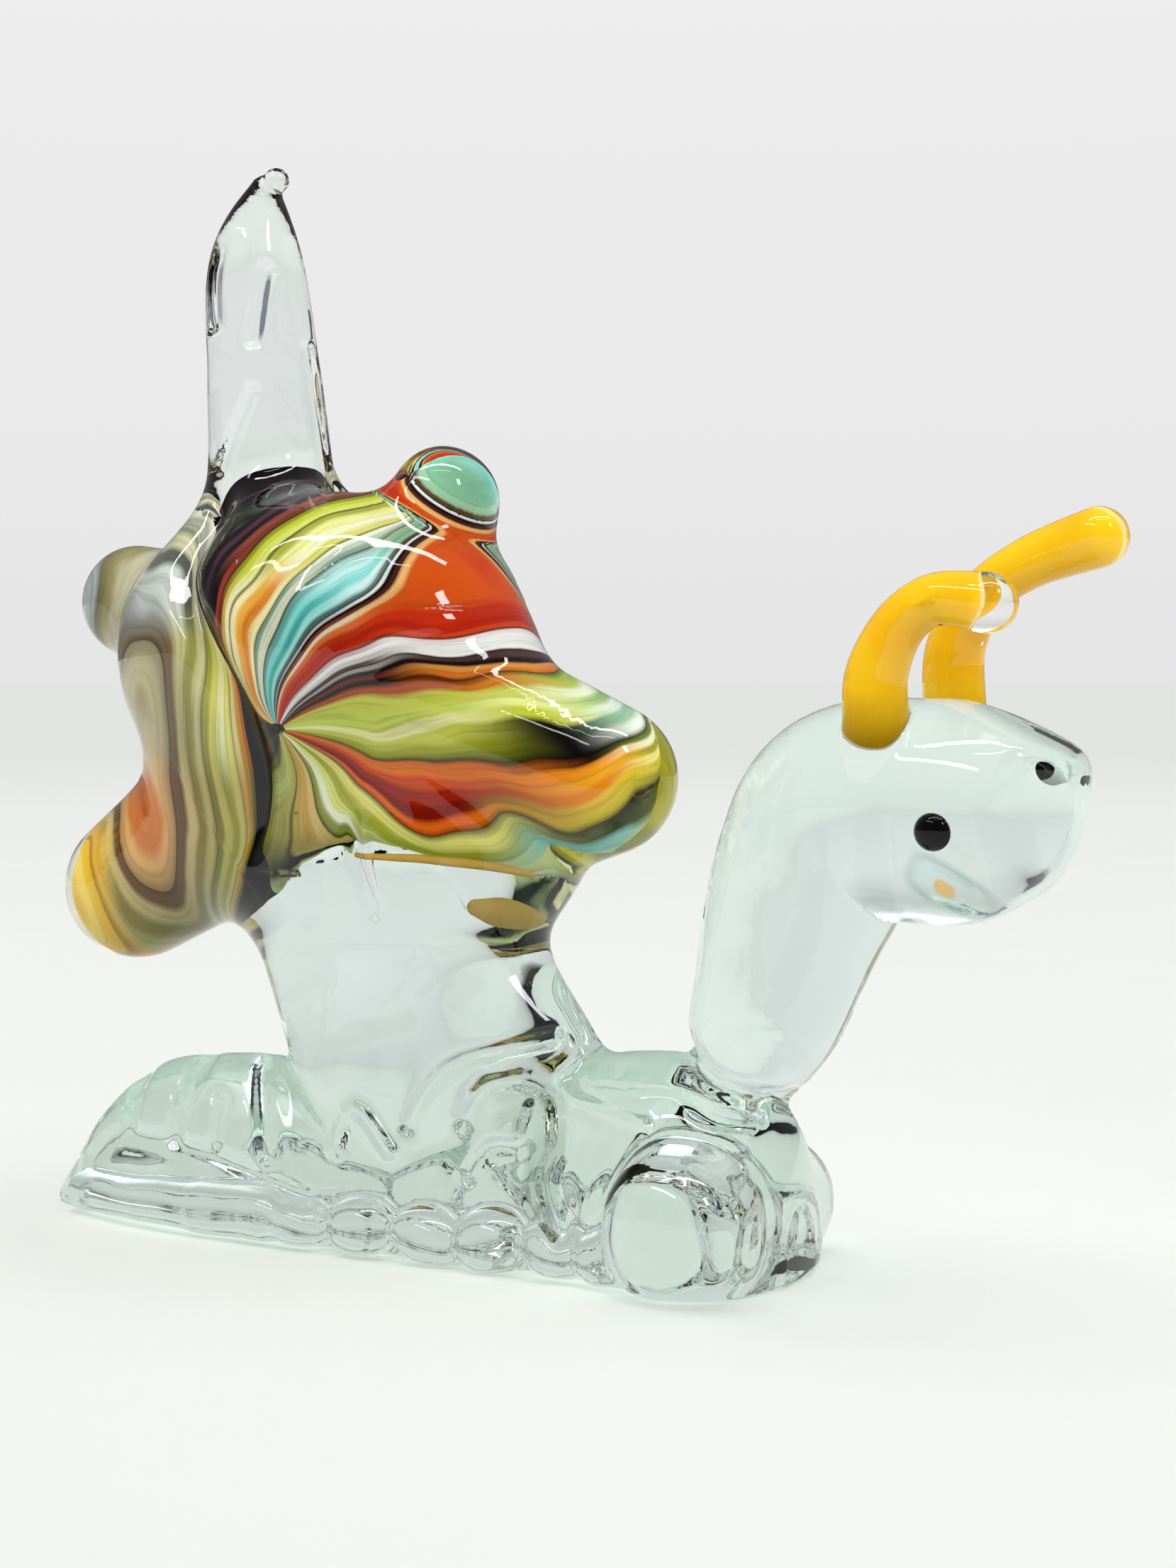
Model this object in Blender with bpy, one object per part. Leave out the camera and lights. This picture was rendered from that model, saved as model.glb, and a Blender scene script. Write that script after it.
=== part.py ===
"""Hot-worked glass snail ornament, as the separate bits of glass that it is put together from.

The snail faces +X and stands on Z = 0. Its right side is -Y. Sizes are in metres.
Every bit that is stuck on another is cut to that one's surface, with a small gap between the two.
"""

import math

import bmesh
import bpy
from mathutils import Matrix, Vector

# Gaps between bits
SEAT_GAP = 0.0003
LAYER_GAP = 0.0005

# Foot: a flat-soled slab with a mound behind the shell and a higher one in front of it.
# Places are measured from the origin, backwards for the tail and forwards for the toe
FOOT_REAR = 0.0580
FOOT_FRONT = 0.0445
FOOT_HALF_WIDTH = 0.0105
TAIL_MOUND_BACK = 0.0370
TAIL_MOUND_FRONT = 0.0230
TAIL_MOUND_HEIGHT = 0.0202
SADDLE_AT = 0.0100
SADDLE_HEIGHT = 0.0085
FRONT_MOUND_BACK = 0.0200
FRONT_MOUND_FRONT = 0.0330
FRONT_MOUND_HEIGHT = 0.0240
TOE_HEIGHT = 0.0120
TAIL_TIP = 0.0016

# Crimped edges: a pinched trail of glass along each side of the foot
CRIMP_RADIUS = 0.0036
CRIMP_PINCH = 0.0012
CRIMP_COUNT = 9
CRIMP_SET_BACK = 0.0085

# Front lobes, one each side of the neck:
# (name, side, behind the toe, out from the middle, length, width, height)
LOBES = [
    ("right_front_lobe", -1, 0.0083, 0.0130, 0.0166, 0.0155, 0.0170),
    ("left_front_lobe", 1, 0.0100, 0.0125, 0.0155, 0.0150, 0.0145),
]
LOBE_FLAT = 0.0010

# Head and neck: one drawn gather, bent forward
NECK_SET_BACK = 0.0066
NECK_RADIUS = 0.0088
NECK_LEAN = 0.0072
HEAD_HEIGHT = 0.0522
HEAD_RADIUS = 0.0121
HEAD_REACH = 0.0232
MUZZLE_RADIUS = 0.0095
MUZZLE_CUT = 0.0048
CHIN_CUT_DROP = 0.0072
CHIN_CUT_LEAN = math.radians(38.5)
MOUTH_LENGTH = 0.0098
MOUTH_HEIGHT = 0.0064
MOUTH_DEPTH = 0.0022
MOUTH_AHEAD = 0.0195
MOUTH_DROP = 0.0072

# Eyes: the left one sits higher, where the clear head doesn't show it from the right
EYE_RADIUS = 0.0020
EYE_AHEAD = 0.0193
RIGHT_EYE_DROP = 0.0016
LEFT_EYE_DROP = -0.0049

# Tentacles: a yellow core in a clear casing that ends in a ball. Bends are shares of the rise
TENTACLE_RADIUS = 0.0035
TENTACLE_TIP_RADIUS = 0.0032
TENTACLE_WALL = 0.0006
TENTACLE_SPREAD = 0.0078
TENTACLE_TIP_GLASS = 0.0026
RIGHT_TENTACLE_AHEAD = 0.0114
RIGHT_TENTACLE_RISE = 0.0130
RIGHT_TENTACLE_REACH = 0.0122
RIGHT_TENTACLE_BENDS = (0.80, 1.00, 0.97)
LEFT_TENTACLE_AHEAD = 0.0142
LEFT_TENTACLE_RISE = 0.0202
LEFT_TENTACLE_REACH = 0.0160
LEFT_TENTACLE_BENDS = (0.69, 0.86, 0.98)

# Shell: a clear core, twisted colour canes round it and a clear casing over them
SHELL_AT = -0.0160
SHELL_HEIGHT = 0.0680
SHELL_LEAN = math.radians(24)
SHELL_TURN = math.radians(10)
CORE_HALF_LENGTH = 0.0232
CORE_HALF_WIDTH = 0.0155
CORE_HALF_HEIGHT = 0.0178
CANE_THICKNESS = 0.0016
CANE_TWIST = math.radians(-38)
CANE_START = math.radians(-5)
CANE_END = math.radians(70)
CASING_WALL = 0.0014

# Stem: the clear column between the shell and the foot
STEM_AT = -0.0072
STEM_HALF_LENGTH = 0.0190
STEM_HALF_WIDTH = 0.0125
STEM_TOE_HALF_LENGTH = 0.0060
STEM_FLARE = 0.0036

# Spire: the clear point drawn up from the shell's top
SPIRE_AT = -0.0255
SPIRE_LENGTH = 0.0370
SPIRE_RADIUS = 0.0078
SPIRE_SHOULDER_RADIUS = 0.0057
SPIRE_SHOULDER = 0.0110
SPIRE_TIP_RADIUS = 0.0017
BEAD_RADIUS = 0.0015

# Knobs drawn out of the shell's rim. Places are ahead of the shell's centre and above it:
# (name, root place, bulb place, out to the left, root radius, bulb radius)
KNOBS = [
    ("upper_front_knob", (0.0080, 0.0100), (0.0139, 0.0185), 0.0010, 0.0090, 0.0070),
    ("front_knob", (0.0150, -0.0050), (0.0362, -0.0130), -0.0010, 0.0120, 0.0088),
    ("upper_rear_knob", (-0.0150, 0.0040), (-0.0298, 0.0078), 0.0000, 0.0105, 0.0070),
    ("lower_rear_knob", (-0.0100, -0.0155), (-0.0292, -0.0274), -0.0010, 0.0135, 0.0090),
]

# Colour canes, clockwise as seen from the right: (name, degrees of the round, linear colour)
CANES = [
    ("cane_01_plum", 14, (0.020, 0.010, 0.016)),
    ("cane_02_lime", 7, (0.430, 0.460, 0.060)),
    ("cane_03_amber", 11, (0.800, 0.360, 0.070)),
    ("cane_04_sage", 7, (0.560, 0.600, 0.420)),
    ("cane_05_turquoise", 18, (0.150, 0.420, 0.380)),
    ("cane_06_charcoal", 7, (0.030, 0.024, 0.022)),
    ("cane_07_rust", 20, (0.380, 0.030, 0.010)),
    ("cane_08_pearl", 13, (0.780, 0.800, 0.760)),
    ("cane_09_umber", 13, (0.090, 0.030, 0.015)),
    ("cane_10_lime", 36, (0.470, 0.520, 0.080)),
    ("cane_11_vermilion", 28, (0.480, 0.070, 0.010)),
    ("cane_12_olive", 29, (0.360, 0.370, 0.060)),
    ("cane_13_gold", 17, (0.560, 0.320, 0.080)),
    ("cane_14_moss", 20, (0.440, 0.500, 0.140)),
    ("cane_15_black", 12, (0.008, 0.006, 0.006)),
    ("cane_16_orange", 24, (0.840, 0.400, 0.080)),
    ("cane_17_cream", 26, (0.900, 0.830, 0.420)),
    ("cane_18_khaki", 34, (0.360, 0.340, 0.140)),
    ("cane_19_chestnut", 24, (0.300, 0.090, 0.030)),
]

# Finishes: linear colour, roughness, transmission
CLEAR_GLASS = ((0.900, 0.960, 0.930), 0.03, 1.0)
YELLOW_GLASS = ((0.900, 0.520, 0.030), 0.05, 0.3)
BLACK_GLASS = ((0.004, 0.004, 0.004), 0.05, 0.0)

# Smoothness of the solids
CURVE_STEPS = 3
DOME_STEPS = 4
TUBE_SIDES = 10
KNOB_SIDES = 14
HEAD_SIDES = 16
FOOT_SIDES = 14
STEM_SIDES = 20
CANE_STEPS = 12
CANE_SPANS = 2
BALL_SEGMENTS = 28
BALL_RINGS = 16
SMALL_BALL_SEGMENTS = 14
SMALL_BALL_RINGS = 8
SHARP_ANGLE = math.radians(40)


def clear_scene():
    for old in list(bpy.data.objects):
        bpy.data.objects.remove(old, do_unlink=True)


def new_collection(name):
    made = bpy.data.collections.new(name)
    bpy.context.scene.collection.children.link(made)
    return made


def finish_of(name, finish):
    """A Principled material with this colour, roughness and transmission."""
    colour, roughness, transmission = finish
    made = bpy.data.materials.new(name)
    made.use_nodes = True
    shader = made.node_tree.nodes["Principled BSDF"]
    shader.inputs["Base Color"].default_value = (*colour, 1.0)
    shader.inputs["Roughness"].default_value = roughness
    shader.inputs["Metallic"].default_value = 0.0
    shader.inputs["Transmission Weight"].default_value = transmission
    return made


# Shared shapes


def smooth(stations, steps=CURVE_STEPS):
    """Points on a Catmull-Rom curve through the stations, each station a tuple of numbers."""
    padded = [stations[0], *stations, stations[-1]]
    found = []
    for before, start, end, after in zip(padded, padded[1:], padded[2:], padded[3:]):
        for step in range(steps):
            t = step / steps
            found.append(
                tuple(
                    0.5 * (2 * q + (r - p) * t + (2 * p - 5 * q + 4 * r - s) * t**2
                           + (3 * q - p - 3 * r + s) * t**3)
                    for p, q, r, s in zip(before, start, end, after)
                )
            )
    found.append(tuple(stations[-1]))
    return found


def solid(name, bm):
    """An object from a bmesh, with its faces turned outwards."""
    bmesh.ops.recalc_face_normals(bm, faces=bm.faces)
    mesh = bpy.data.meshes.new(name)
    bm.to_mesh(mesh)
    bm.free()
    return bpy.data.objects.new(name, mesh)


def loft(name, rings):
    """A closed solid through rings of equally many points, with flat ends."""
    bm = bmesh.new()
    loops = [[bm.verts.new(point) for point in ring] for ring in rings]
    count = len(loops[0])
    for near, far in zip(loops, loops[1:]):
        for i in range(count):
            j = (i + 1) % count
            bm.faces.new((near[i], near[j], far[j], far[i]))
    bm.faces.new(loops[0])
    bm.faces.new(loops[-1])
    return solid(name, bm)


def ball(name, half_sizes, place, segments=BALL_SEGMENTS, rings=BALL_RINGS):
    """An ellipsoid with these half sizes, moved by the matrix or vector place."""
    if not isinstance(place, Matrix):
        place = Matrix.Translation(place)
    bm = bmesh.new()
    bmesh.ops.create_uvsphere(bm, u_segments=segments, v_segments=rings, radius=1.0)
    bmesh.ops.transform(bm, matrix=place @ Matrix.Diagonal((*half_sizes, 1.0)), verts=bm.verts)
    return solid(name, bm)


def tube(name, stations, sides=TUBE_SIDES):
    """A closed round tube through (x, y, z, radius) stations: a bevelled curve made a mesh."""
    data = bpy.data.curves.new(name + "_line", "CURVE")
    data.dimensions = "3D"
    data.bevel_depth = 1.0
    data.bevel_resolution = sides // 2 - 2
    data.use_fill_caps = True
    spline = data.splines.new("POLY")
    spline.points.add(len(stations) - 1)
    for point, (x, y, z, radius) in zip(spline.points, stations):
        point.co = (x, y, z, 1.0)
        point.radius = radius
    line = bpy.data.objects.new(name + "_line", data)
    bpy.context.scene.collection.objects.link(line)
    bpy.context.view_layer.update()
    mesh = bpy.data.meshes.new_from_object(line.evaluated_get(bpy.context.evaluated_depsgraph_get()))
    bpy.data.objects.remove(line)
    bm = bmesh.new()
    bm.from_mesh(mesh)
    bpy.data.meshes.remove(mesh)
    bmesh.ops.remove_doubles(bm, verts=bm.verts, dist=SEAT_GAP / 100)
    return solid(name, bm)


def domed(stations):
    """The stations with a half-round end past the last one."""
    *_, before, last = stations
    end, radius = Vector(last[:3]), last[3]
    along = (end - Vector(before[:3])).normalized()
    found = list(stations)
    for step in range(1, DOME_STEPS + 1):
        angle = math.radians(84) * step / DOME_STEPS
        found.append((*(end + along * radius * math.sin(angle)), radius * math.cos(angle)))
    return found


def grown(stations, grow):
    """Tube stations with this much added to each radius."""
    return [(x, y, z, radius + grow) for x, y, z, radius in stations]


def shortened(stations, length):
    """The stations with this much length taken off the end of their line."""
    found = list(stations)
    step = math.dist(found[-2][:3], found[-1][:3])
    while step < length + SEAT_GAP:
        found.pop()
        length -= step
        step = math.dist(found[-2][:3], found[-1][:3])
    share = 1 - length / step
    found[-1] = tuple(near + (far - near) * share for near, far in zip(found[-2], found[-1]))
    return found


# The forms that other bits are cut to. Each takes how much to grow by, to leave a gap


def foot_stations(grow=0.0):
    """(x, half width, height) along the foot, from the tail to the toe."""
    wide = FOOT_HALF_WIDTH
    tail = TAIL_MOUND_HEIGHT
    front = FRONT_MOUND_HEIGHT
    slope = FOOT_REAR - TAIL_MOUND_BACK
    stations = [
        (-FOOT_REAR - grow, TAIL_TIP, TAIL_TIP),
        (-FOOT_REAR + slope * 0.36, wide * 0.50, tail * 0.60),
        (-FOOT_REAR + slope * 0.70, wide * 0.72, tail * 0.88),
        (-TAIL_MOUND_BACK, wide * 0.88, tail * 0.98),
        (-TAIL_MOUND_FRONT, wide * 0.97, tail),
        (-SADDLE_AT, wide, SADDLE_HEIGHT),
        ((FRONT_MOUND_BACK - SADDLE_AT) / 2, wide * 1.02, SADDLE_HEIGHT * 0.35 + front * 0.65),
        (FRONT_MOUND_BACK, wide * 1.06, front * 0.98),
        (FRONT_MOUND_FRONT, wide * 1.14, front),
        (FOOT_FRONT - (FOOT_FRONT - FRONT_MOUND_FRONT) * 0.25, wide * 1.05, front * 0.45 + TOE_HEIGHT * 0.7),
        (FOOT_FRONT + grow, wide * 0.70, TOE_HEIGHT),
    ]
    return [(x, half + grow, height + grow) for x, half, height in smooth(stations)]


def foot_half_width(x):
    """Half the sole's width at x."""
    stations = foot_stations()
    for (start, near, _), (end, far, _) in zip(stations, stations[1:]):
        if start <= x <= end:
            return near + (far - near) * (x - start) / (end - start)
    return TAIL_TIP


def foot_form(name, grow=0.0):
    """A slab with a flat sole and a rounded back."""
    rings = []
    for x, half_width, height in foot_stations(grow):
        ring = []
        for step in range(FOOT_SIDES + 1):
            angle = math.pi * step / FOOT_SIDES
            ring.append((x, half_width * math.cos(angle), height * math.sin(angle) ** 0.75))
        rings.append([(x, y, z - grow * (z <= 1e-9)) for x, y, z in ring])
    return loft(name, rings)


def head_bend():
    """Where the neck turns forward into the head."""
    return FOOT_FRONT - NECK_SET_BACK + NECK_LEAN


def head_stations(grow=0.0):
    """The neck's rise out of the foot and the head's turn forward, with the muzzle cut across."""
    top = HEAD_HEIGHT
    base = FRONT_MOUND_HEIGHT * 0.5
    bend = head_bend()
    at = bend - NECK_LEAN
    big = HEAD_RADIUS
    stations = [
        (at, 0.0, base, NECK_RADIUS * 0.92),
        (at + NECK_LEAN * 0.42, 0.0, base * 0.55 + top * 0.45, NECK_RADIUS),
        (bend, 0.0, base * 0.22 + top * 0.78, big * 0.87),
        (bend + big * 0.42, 0.0, top - big * 0.06, big * 0.97),
        (bend + big * 1.20, 0.0, top, big),
        (bend + HEAD_REACH, 0.0, top - big * 0.03, big),
        (bend + HEAD_REACH + MUZZLE_CUT, 0.0, top - big * 0.10, MUZZLE_RADIUS),
    ]
    return grown(smooth(stations), grow)


def head_form(name, grow=0.0):
    return tube(name, head_stations(grow), HEAD_SIDES)


def head_point(ahead, turn):
    """A point on the head's skin, this far ahead of the bend and turned from the top to the left."""
    up = HEAD_HEIGHT + HEAD_RADIUS * math.cos(turn)
    return Vector((head_bend() + ahead, HEAD_RADIUS * math.sin(turn), up))


def shell_place():
    """The shell's centre and tilt, with its poles along its own Y."""
    centre = Matrix.Translation((SHELL_AT, 0.0, SHELL_HEIGHT))
    return centre @ Matrix.Rotation(SHELL_TURN, 4, "Z") @ Matrix.Rotation(SHELL_LEAN, 4, "X")


def shell_half_sizes(layer):
    """Half sizes of the shell's ellipsoid, this far out from its core."""
    return (CORE_HALF_LENGTH + layer, CORE_HALF_WIDTH + layer, CORE_HALF_HEIGHT + layer)


CANE_INSIDE = LAYER_GAP
CANE_OUTSIDE = CANE_INSIDE + CANE_THICKNESS
CASING_INSIDE = CANE_OUTSIDE + LAYER_GAP
CASING_OUTSIDE = CASING_INSIDE + CASING_WALL


def shell_form(name, layer):
    return ball(name, shell_half_sizes(layer), shell_place())


def stem_stations(grow=0.0):
    """(x, z, half length, half width) up the stem, from its toe in the saddle into the shell."""
    shell_foot = SHELL_HEIGHT - CORE_HALF_HEIGHT - CASING_OUTSIDE
    waist = (FRONT_MOUND_HEIGHT + shell_foot) / 2
    spread = (FRONT_MOUND_BACK + TAIL_MOUND_FRONT) / 2
    middle = (FRONT_MOUND_BACK - TAIL_MOUND_FRONT) / 2
    toe = STEM_TOE_HALF_LENGTH
    stations = [
        (-SADDLE_AT, SADDLE_HEIGHT * 0.6, toe * 0.8, toe * 0.8),
        (-SADDLE_AT * 0.8, SADDLE_HEIGHT * 1.4, toe * 1.6, toe * 1.2),
        (middle, FRONT_MOUND_HEIGHT * 0.90, spread * 0.97, STEM_HALF_WIDTH * 0.78),
        (STEM_AT, waist, STEM_HALF_LENGTH, STEM_HALF_WIDTH),
        (STEM_AT, shell_foot, STEM_HALF_LENGTH + STEM_FLARE, STEM_HALF_WIDTH + STEM_FLARE * 0.6),
        (SHELL_AT, SHELL_HEIGHT, STEM_HALF_LENGTH, STEM_HALF_WIDTH * 0.8),
    ]
    return [(x, z, length + grow, width + grow) for x, z, length, width in smooth(stations)]


def stem_form(name, grow=0.0):
    rings = []
    for x, z, half_length, half_width in stem_stations(grow):
        angles = [2 * math.pi * step / STEM_SIDES for step in range(STEM_SIDES)]
        rings.append([(x + half_length * math.cos(a), half_width * math.sin(a), z) for a in angles])
    return loft(name, rings)


def spire_top():
    """The height of the spire's tip."""
    return SHELL_HEIGHT + CORE_HALF_HEIGHT + CASING_OUTSIDE + SPIRE_LENGTH


def spire_stations(grow=0.0):
    """The spire from inside the shell to the tip, upright behind and tapered in front."""
    shoulder = spire_top() - SPIRE_SHOULDER
    shell_top = spire_top() - SPIRE_LENGTH
    back = SPIRE_AT - SPIRE_RADIUS
    middle = (SPIRE_RADIUS + SPIRE_SHOULDER_RADIUS) / 2
    stations = [
        (SPIRE_AT, 0.0, SHELL_HEIGHT + CORE_HALF_HEIGHT * 0.5, SPIRE_RADIUS * 1.35),
        (SPIRE_AT, 0.0, shell_top, SPIRE_RADIUS),
        (back + middle, 0.0, (shell_top + shoulder) / 2, middle),
        (back + SPIRE_SHOULDER_RADIUS, 0.0, shoulder, SPIRE_SHOULDER_RADIUS),
        (SPIRE_AT - SPIRE_TIP_RADIUS / 2, 0.0, spire_top() - SPIRE_TIP_RADIUS, SPIRE_TIP_RADIUS),
    ]
    return domed(grown(smooth(stations), grow))


# The bits themselves


def add(obj, finish):
    """Puts a bit in the snail's collection, with a material of its own, under the origin's empty."""
    obj.data.materials.clear()
    obj.data.materials.append(finish_of(obj.name, finish))
    obj.data.shade_smooth()
    obj.data.set_sharp_from_angle(angle=SHARP_ANGLE)
    snail.objects.link(obj)
    obj.parent = origin
    return obj


def cut(obj, cutter):
    """Takes the cutter's shape out of obj. The cutter stays as a hidden wire."""
    if cutter.name not in cutters.objects:
        cutters.objects.link(cutter)
        cutter.hide_render = True
        cutter.display_type = "WIRE"
    change = obj.modifiers.new("cut_by_" + cutter.name, "BOOLEAN")
    change.operation = "DIFFERENCE"
    change.object = cutter
    return obj


def ground():
    """All that lies below the table, for the bits that were pressed flat on it."""
    bm = bmesh.new()
    bmesh.ops.create_cube(bm, size=1.0)
    size = 4 * FOOT_REAR
    place = Matrix.Translation((0.0, 0.0, -size / 2)) @ Matrix.Diagonal((size, size, size, 1.0))
    bmesh.ops.transform(bm, matrix=place, verts=bm.verts)
    return solid("ground_cutter", bm)


def make_foot():
    add(foot_form("foot"), CLEAR_GLASS)


def make_crimped_edge(name, side, lobe_rear):
    """A trail along the foot's edge up to the lobe, pinched at an even pitch."""
    rear = -FOOT_REAR + CRIMP_SET_BACK
    steps = CRIMP_COUNT * 4
    stations = []
    for step in range(steps + 1):
        share = step / steps
        x = rear + share * (lobe_rear - SEAT_GAP - rear)
        pinch = CRIMP_PINCH * math.cos(2 * math.pi * share * CRIMP_COUNT)
        taper = min(1.0, 0.55 + 4 * share, 0.55 + 4 * (1 - share))
        radius = (CRIMP_RADIUS - pinch / 2) * taper
        stations.append((x, side * (foot_half_width(x) + CRIMP_RADIUS * 0.1), radius * 0.9, radius))
    edge = add(tube(name, stations), CLEAR_GLASS)
    cut(edge, foot_cutter)
    cut(edge, ground_cutter)


def lobe_form(name, lobe, grow=0.0):
    _, side, set_back, out, length, width, height = lobe
    half_sizes = (length / 2 + grow, width / 2 + grow, height / 2 + grow)
    centre = Vector((FOOT_FRONT - set_back, side * out, height / 2 - LOBE_FLAT))
    return ball(name, half_sizes, centre, segments=18, rings=12)


def lobe_rear(side):
    """Where the lobe on this side begins."""
    return next(FOOT_FRONT - lobe[2] - lobe[4] / 2 for lobe in LOBES if lobe[1] == side)


def make_lobe(lobe):
    """A rounded lobe pressed flat on the table and against the foot."""
    shape = add(lobe_form(lobe[0], lobe), CLEAR_GLASS)
    cut(shape, foot_cutter)
    cut(shape, ground_cutter)


def make_head():
    head = add(head_form("head_and_neck"), CLEAR_GLASS)
    cut(head, foot_cutter)
    for lobe in LOBES:
        cut(head, lobe_form(lobe[0] + "_cutter", lobe, SEAT_GAP))
    for side_name, side in SIDES:
        cut(head, mouth_cutter(side_name + "_mouth_cutter", side))
    cut(head, chin_cutter())


def chin_cutter():
    """All that lies below and ahead of the flat cut under the muzzle."""
    bm = bmesh.new()
    bmesh.ops.create_cube(bm, size=1.0)
    size = 3 * HEAD_RADIUS
    face = head_bend() + HEAD_REACH + MUZZLE_CUT
    place = Matrix.Translation((face, 0.0, HEAD_HEIGHT - CHIN_CUT_DROP))
    place @= Matrix.Rotation(-CHIN_CUT_LEAN, 4, "Y")
    place @= Matrix.Translation((0.0, 0.0, -size / 2)) @ Matrix.Diagonal((size, size, size, 1.0))
    bmesh.ops.transform(bm, matrix=place, verts=bm.verts)
    return solid("chin_cutter", bm)


def mouth_cutter(name, side):
    """The pinch at the corner of the mouth."""
    skin = math.sqrt(HEAD_RADIUS**2 - MOUTH_DROP**2)
    centre = Vector((head_bend() + MOUTH_AHEAD, side * skin, HEAD_HEIGHT - MOUTH_DROP))
    return ball(
        name,
        (MOUTH_LENGTH / 2, MOUTH_DEPTH, MOUTH_HEIGHT / 2),
        Matrix.Translation(centre) @ Matrix.Rotation(math.radians(18), 4, "Y"),
        SMALL_BALL_SEGMENTS,
        SMALL_BALL_RINGS,
    )


def make_eye(name, side, drop):
    """A dot of black glass, melted a little way down onto the head and flat to its skin."""
    lean = math.asin(drop / HEAD_RADIUS)
    skin = HEAD_RADIUS * math.cos(lean)
    centre = Vector((head_bend() + EYE_AHEAD, side * skin, HEAD_HEIGHT - drop))
    place = Matrix.Translation(centre) @ Matrix.Rotation(-side * lean, 4, "X")
    half_sizes = (EYE_RADIUS, EYE_RADIUS * 0.7, EYE_RADIUS)
    eye = add(ball(name, half_sizes, place, SMALL_BALL_SEGMENTS, SMALL_BALL_RINGS), BLACK_GLASS)
    cut(eye, head_cutter)


def tentacle_stations(side, ahead, rise, reach, bends):
    """The middle line of a tentacle, from inside the head up, over and forward to its ball."""
    root = head_point(ahead, side * math.asin(TENTACLE_SPREAD / HEAD_RADIUS))
    thin = TENTACLE_RADIUS * 0.86
    low, middle, tip = bends
    places = [
        (0.0, -HEAD_RADIUS * 0.45, TENTACLE_RADIUS * 1.1),
        (0.0, 0.0, TENTACLE_RADIUS),
        (0.0, rise * 0.40, TENTACLE_RADIUS * 0.93),
        (reach * 0.21, rise * low, thin),
        (reach * 0.54, rise * middle, thin),
        (reach, rise * tip, TENTACLE_TIP_RADIUS),
    ]
    return smooth([(root.x + along, root.y, root.z + up, radius) for along, up, radius in places])


def make_tentacle(side_name, side, ahead, rise, reach, bends):
    """A yellow core, and the clear casing that closes over its end."""
    line = tentacle_stations(side, ahead, rise, reach, bends)
    bore = grown(shortened(line, TENTACLE_TIP_GLASS - TENTACLE_WALL), -TENTACLE_WALL)
    core = tube(side_name + "_tentacle_core", domed(grown(bore, -SEAT_GAP)))
    cut(add(core, YELLOW_GLASS), head_cutter)
    casing = add(tube(side_name + "_tentacle_casing", domed(line)), CLEAR_GLASS)
    cut(casing, tube(side_name + "_tentacle_bore", domed(bore)))
    cut(casing, head_cutter)


def make_shell_core():
    add(shell_form("shell_core", 0.0), CLEAR_GLASS)


def shell_point(angle, latitude, layer):
    """A point on the shell, by its angle from the top and its latitude towards the right pole."""
    length, width, height = shell_half_sizes(layer)
    around = math.cos(latitude)
    local = Vector((
        length * around * math.sin(angle),
        -width * math.sin(latitude),
        height * around * math.cos(angle),
    ))
    return shell_place() @ local


def make_canes():
    """Canes side by side round the core, each twisted as it runs from pole to pole."""
    whole = sum(share for _, share, _ in CANES)
    start = CANE_START
    gap = LAYER_GAP / 2
    for name, share, colour in CANES:
        width = 2 * math.pi * share / whole
        rings = []
        for step in range(CANE_STEPS + 1):
            latitude = CANE_END * (2 * step / CANE_STEPS - 1)
            margin = gap / (CORE_HALF_HEIGHT * math.cos(latitude))
            first = start + margin + CANE_TWIST * latitude
            span = width - 2 * margin
            angles = [first + span * i / CANE_SPANS for i in range(CANE_SPANS + 1)]
            outer = [shell_point(angle, latitude, CANE_OUTSIDE) for angle in angles]
            inner = [shell_point(angle, latitude, CANE_INSIDE) for angle in reversed(angles)]
            rings.append(outer + inner)
        add(loft(name, rings), (colour, 0.08, 0.2))
        start += width


def make_casing():
    """The clear gather over the canes, open where the stem and the spire come out of it."""
    casing = add(shell_form("shell_casing", CASING_OUTSIDE), CLEAR_GLASS)
    cut(casing, shell_form("casing_hollow", CASING_INSIDE))
    cut(casing, stem_cutter)
    cut(casing, spire_cutter)


def make_stem():
    stem = add(stem_form("shell_stem"), CLEAR_GLASS)
    cut(stem, foot_cutter)
    cut(stem, shell_form("stem_shell_cutter", CASING_INSIDE))


def make_spire():
    """The drawn point and the bead that its thread of glass broke off in."""
    spire = add(tube("spire", spire_stations()), CLEAR_GLASS)
    cut(spire, shell_form("spire_shell_cutter", CASING_INSIDE))
    centre = Vector((SPIRE_AT + BEAD_RADIUS * 0.6, 0.0, spire_top() - SPIRE_TIP_RADIUS * 0.4))
    bead = ball("spire_bead", (BEAD_RADIUS,) * 3, centre, SMALL_BALL_SEGMENTS, SMALL_BALL_RINGS)
    cut(add(bead, CLEAR_GLASS), spire_cutter)


def make_knob(name, root_place, bulb_place, left, root_radius, radius):
    """A rounded knob with a root that flares onto the casing."""
    centre = Vector((SHELL_AT, 0.0, SHELL_HEIGHT))
    root = centre + Vector((root_place[0], left, root_place[1]))
    bulb = centre + Vector((bulb_place[0], left, bulb_place[1]))
    stations = [
        (*root, root_radius),
        (*root.lerp(bulb, 0.5), (root_radius + radius * 2) / 3),
        (*bulb, radius),
    ]
    knob = add(tube(name, domed(smooth(stations)), KNOB_SIDES), CLEAR_GLASS)
    cut(knob, casing_cutter)
    cut(knob, stem_cutter)
    cut(knob, spire_cutter)


SIDES = (("right", -1), ("left", 1))

clear_scene()
snail = new_collection("glass_snail")
cutters = new_collection("cutters")
origin = bpy.data.objects.new("snail_origin", None)
snail.objects.link(origin)

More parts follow.
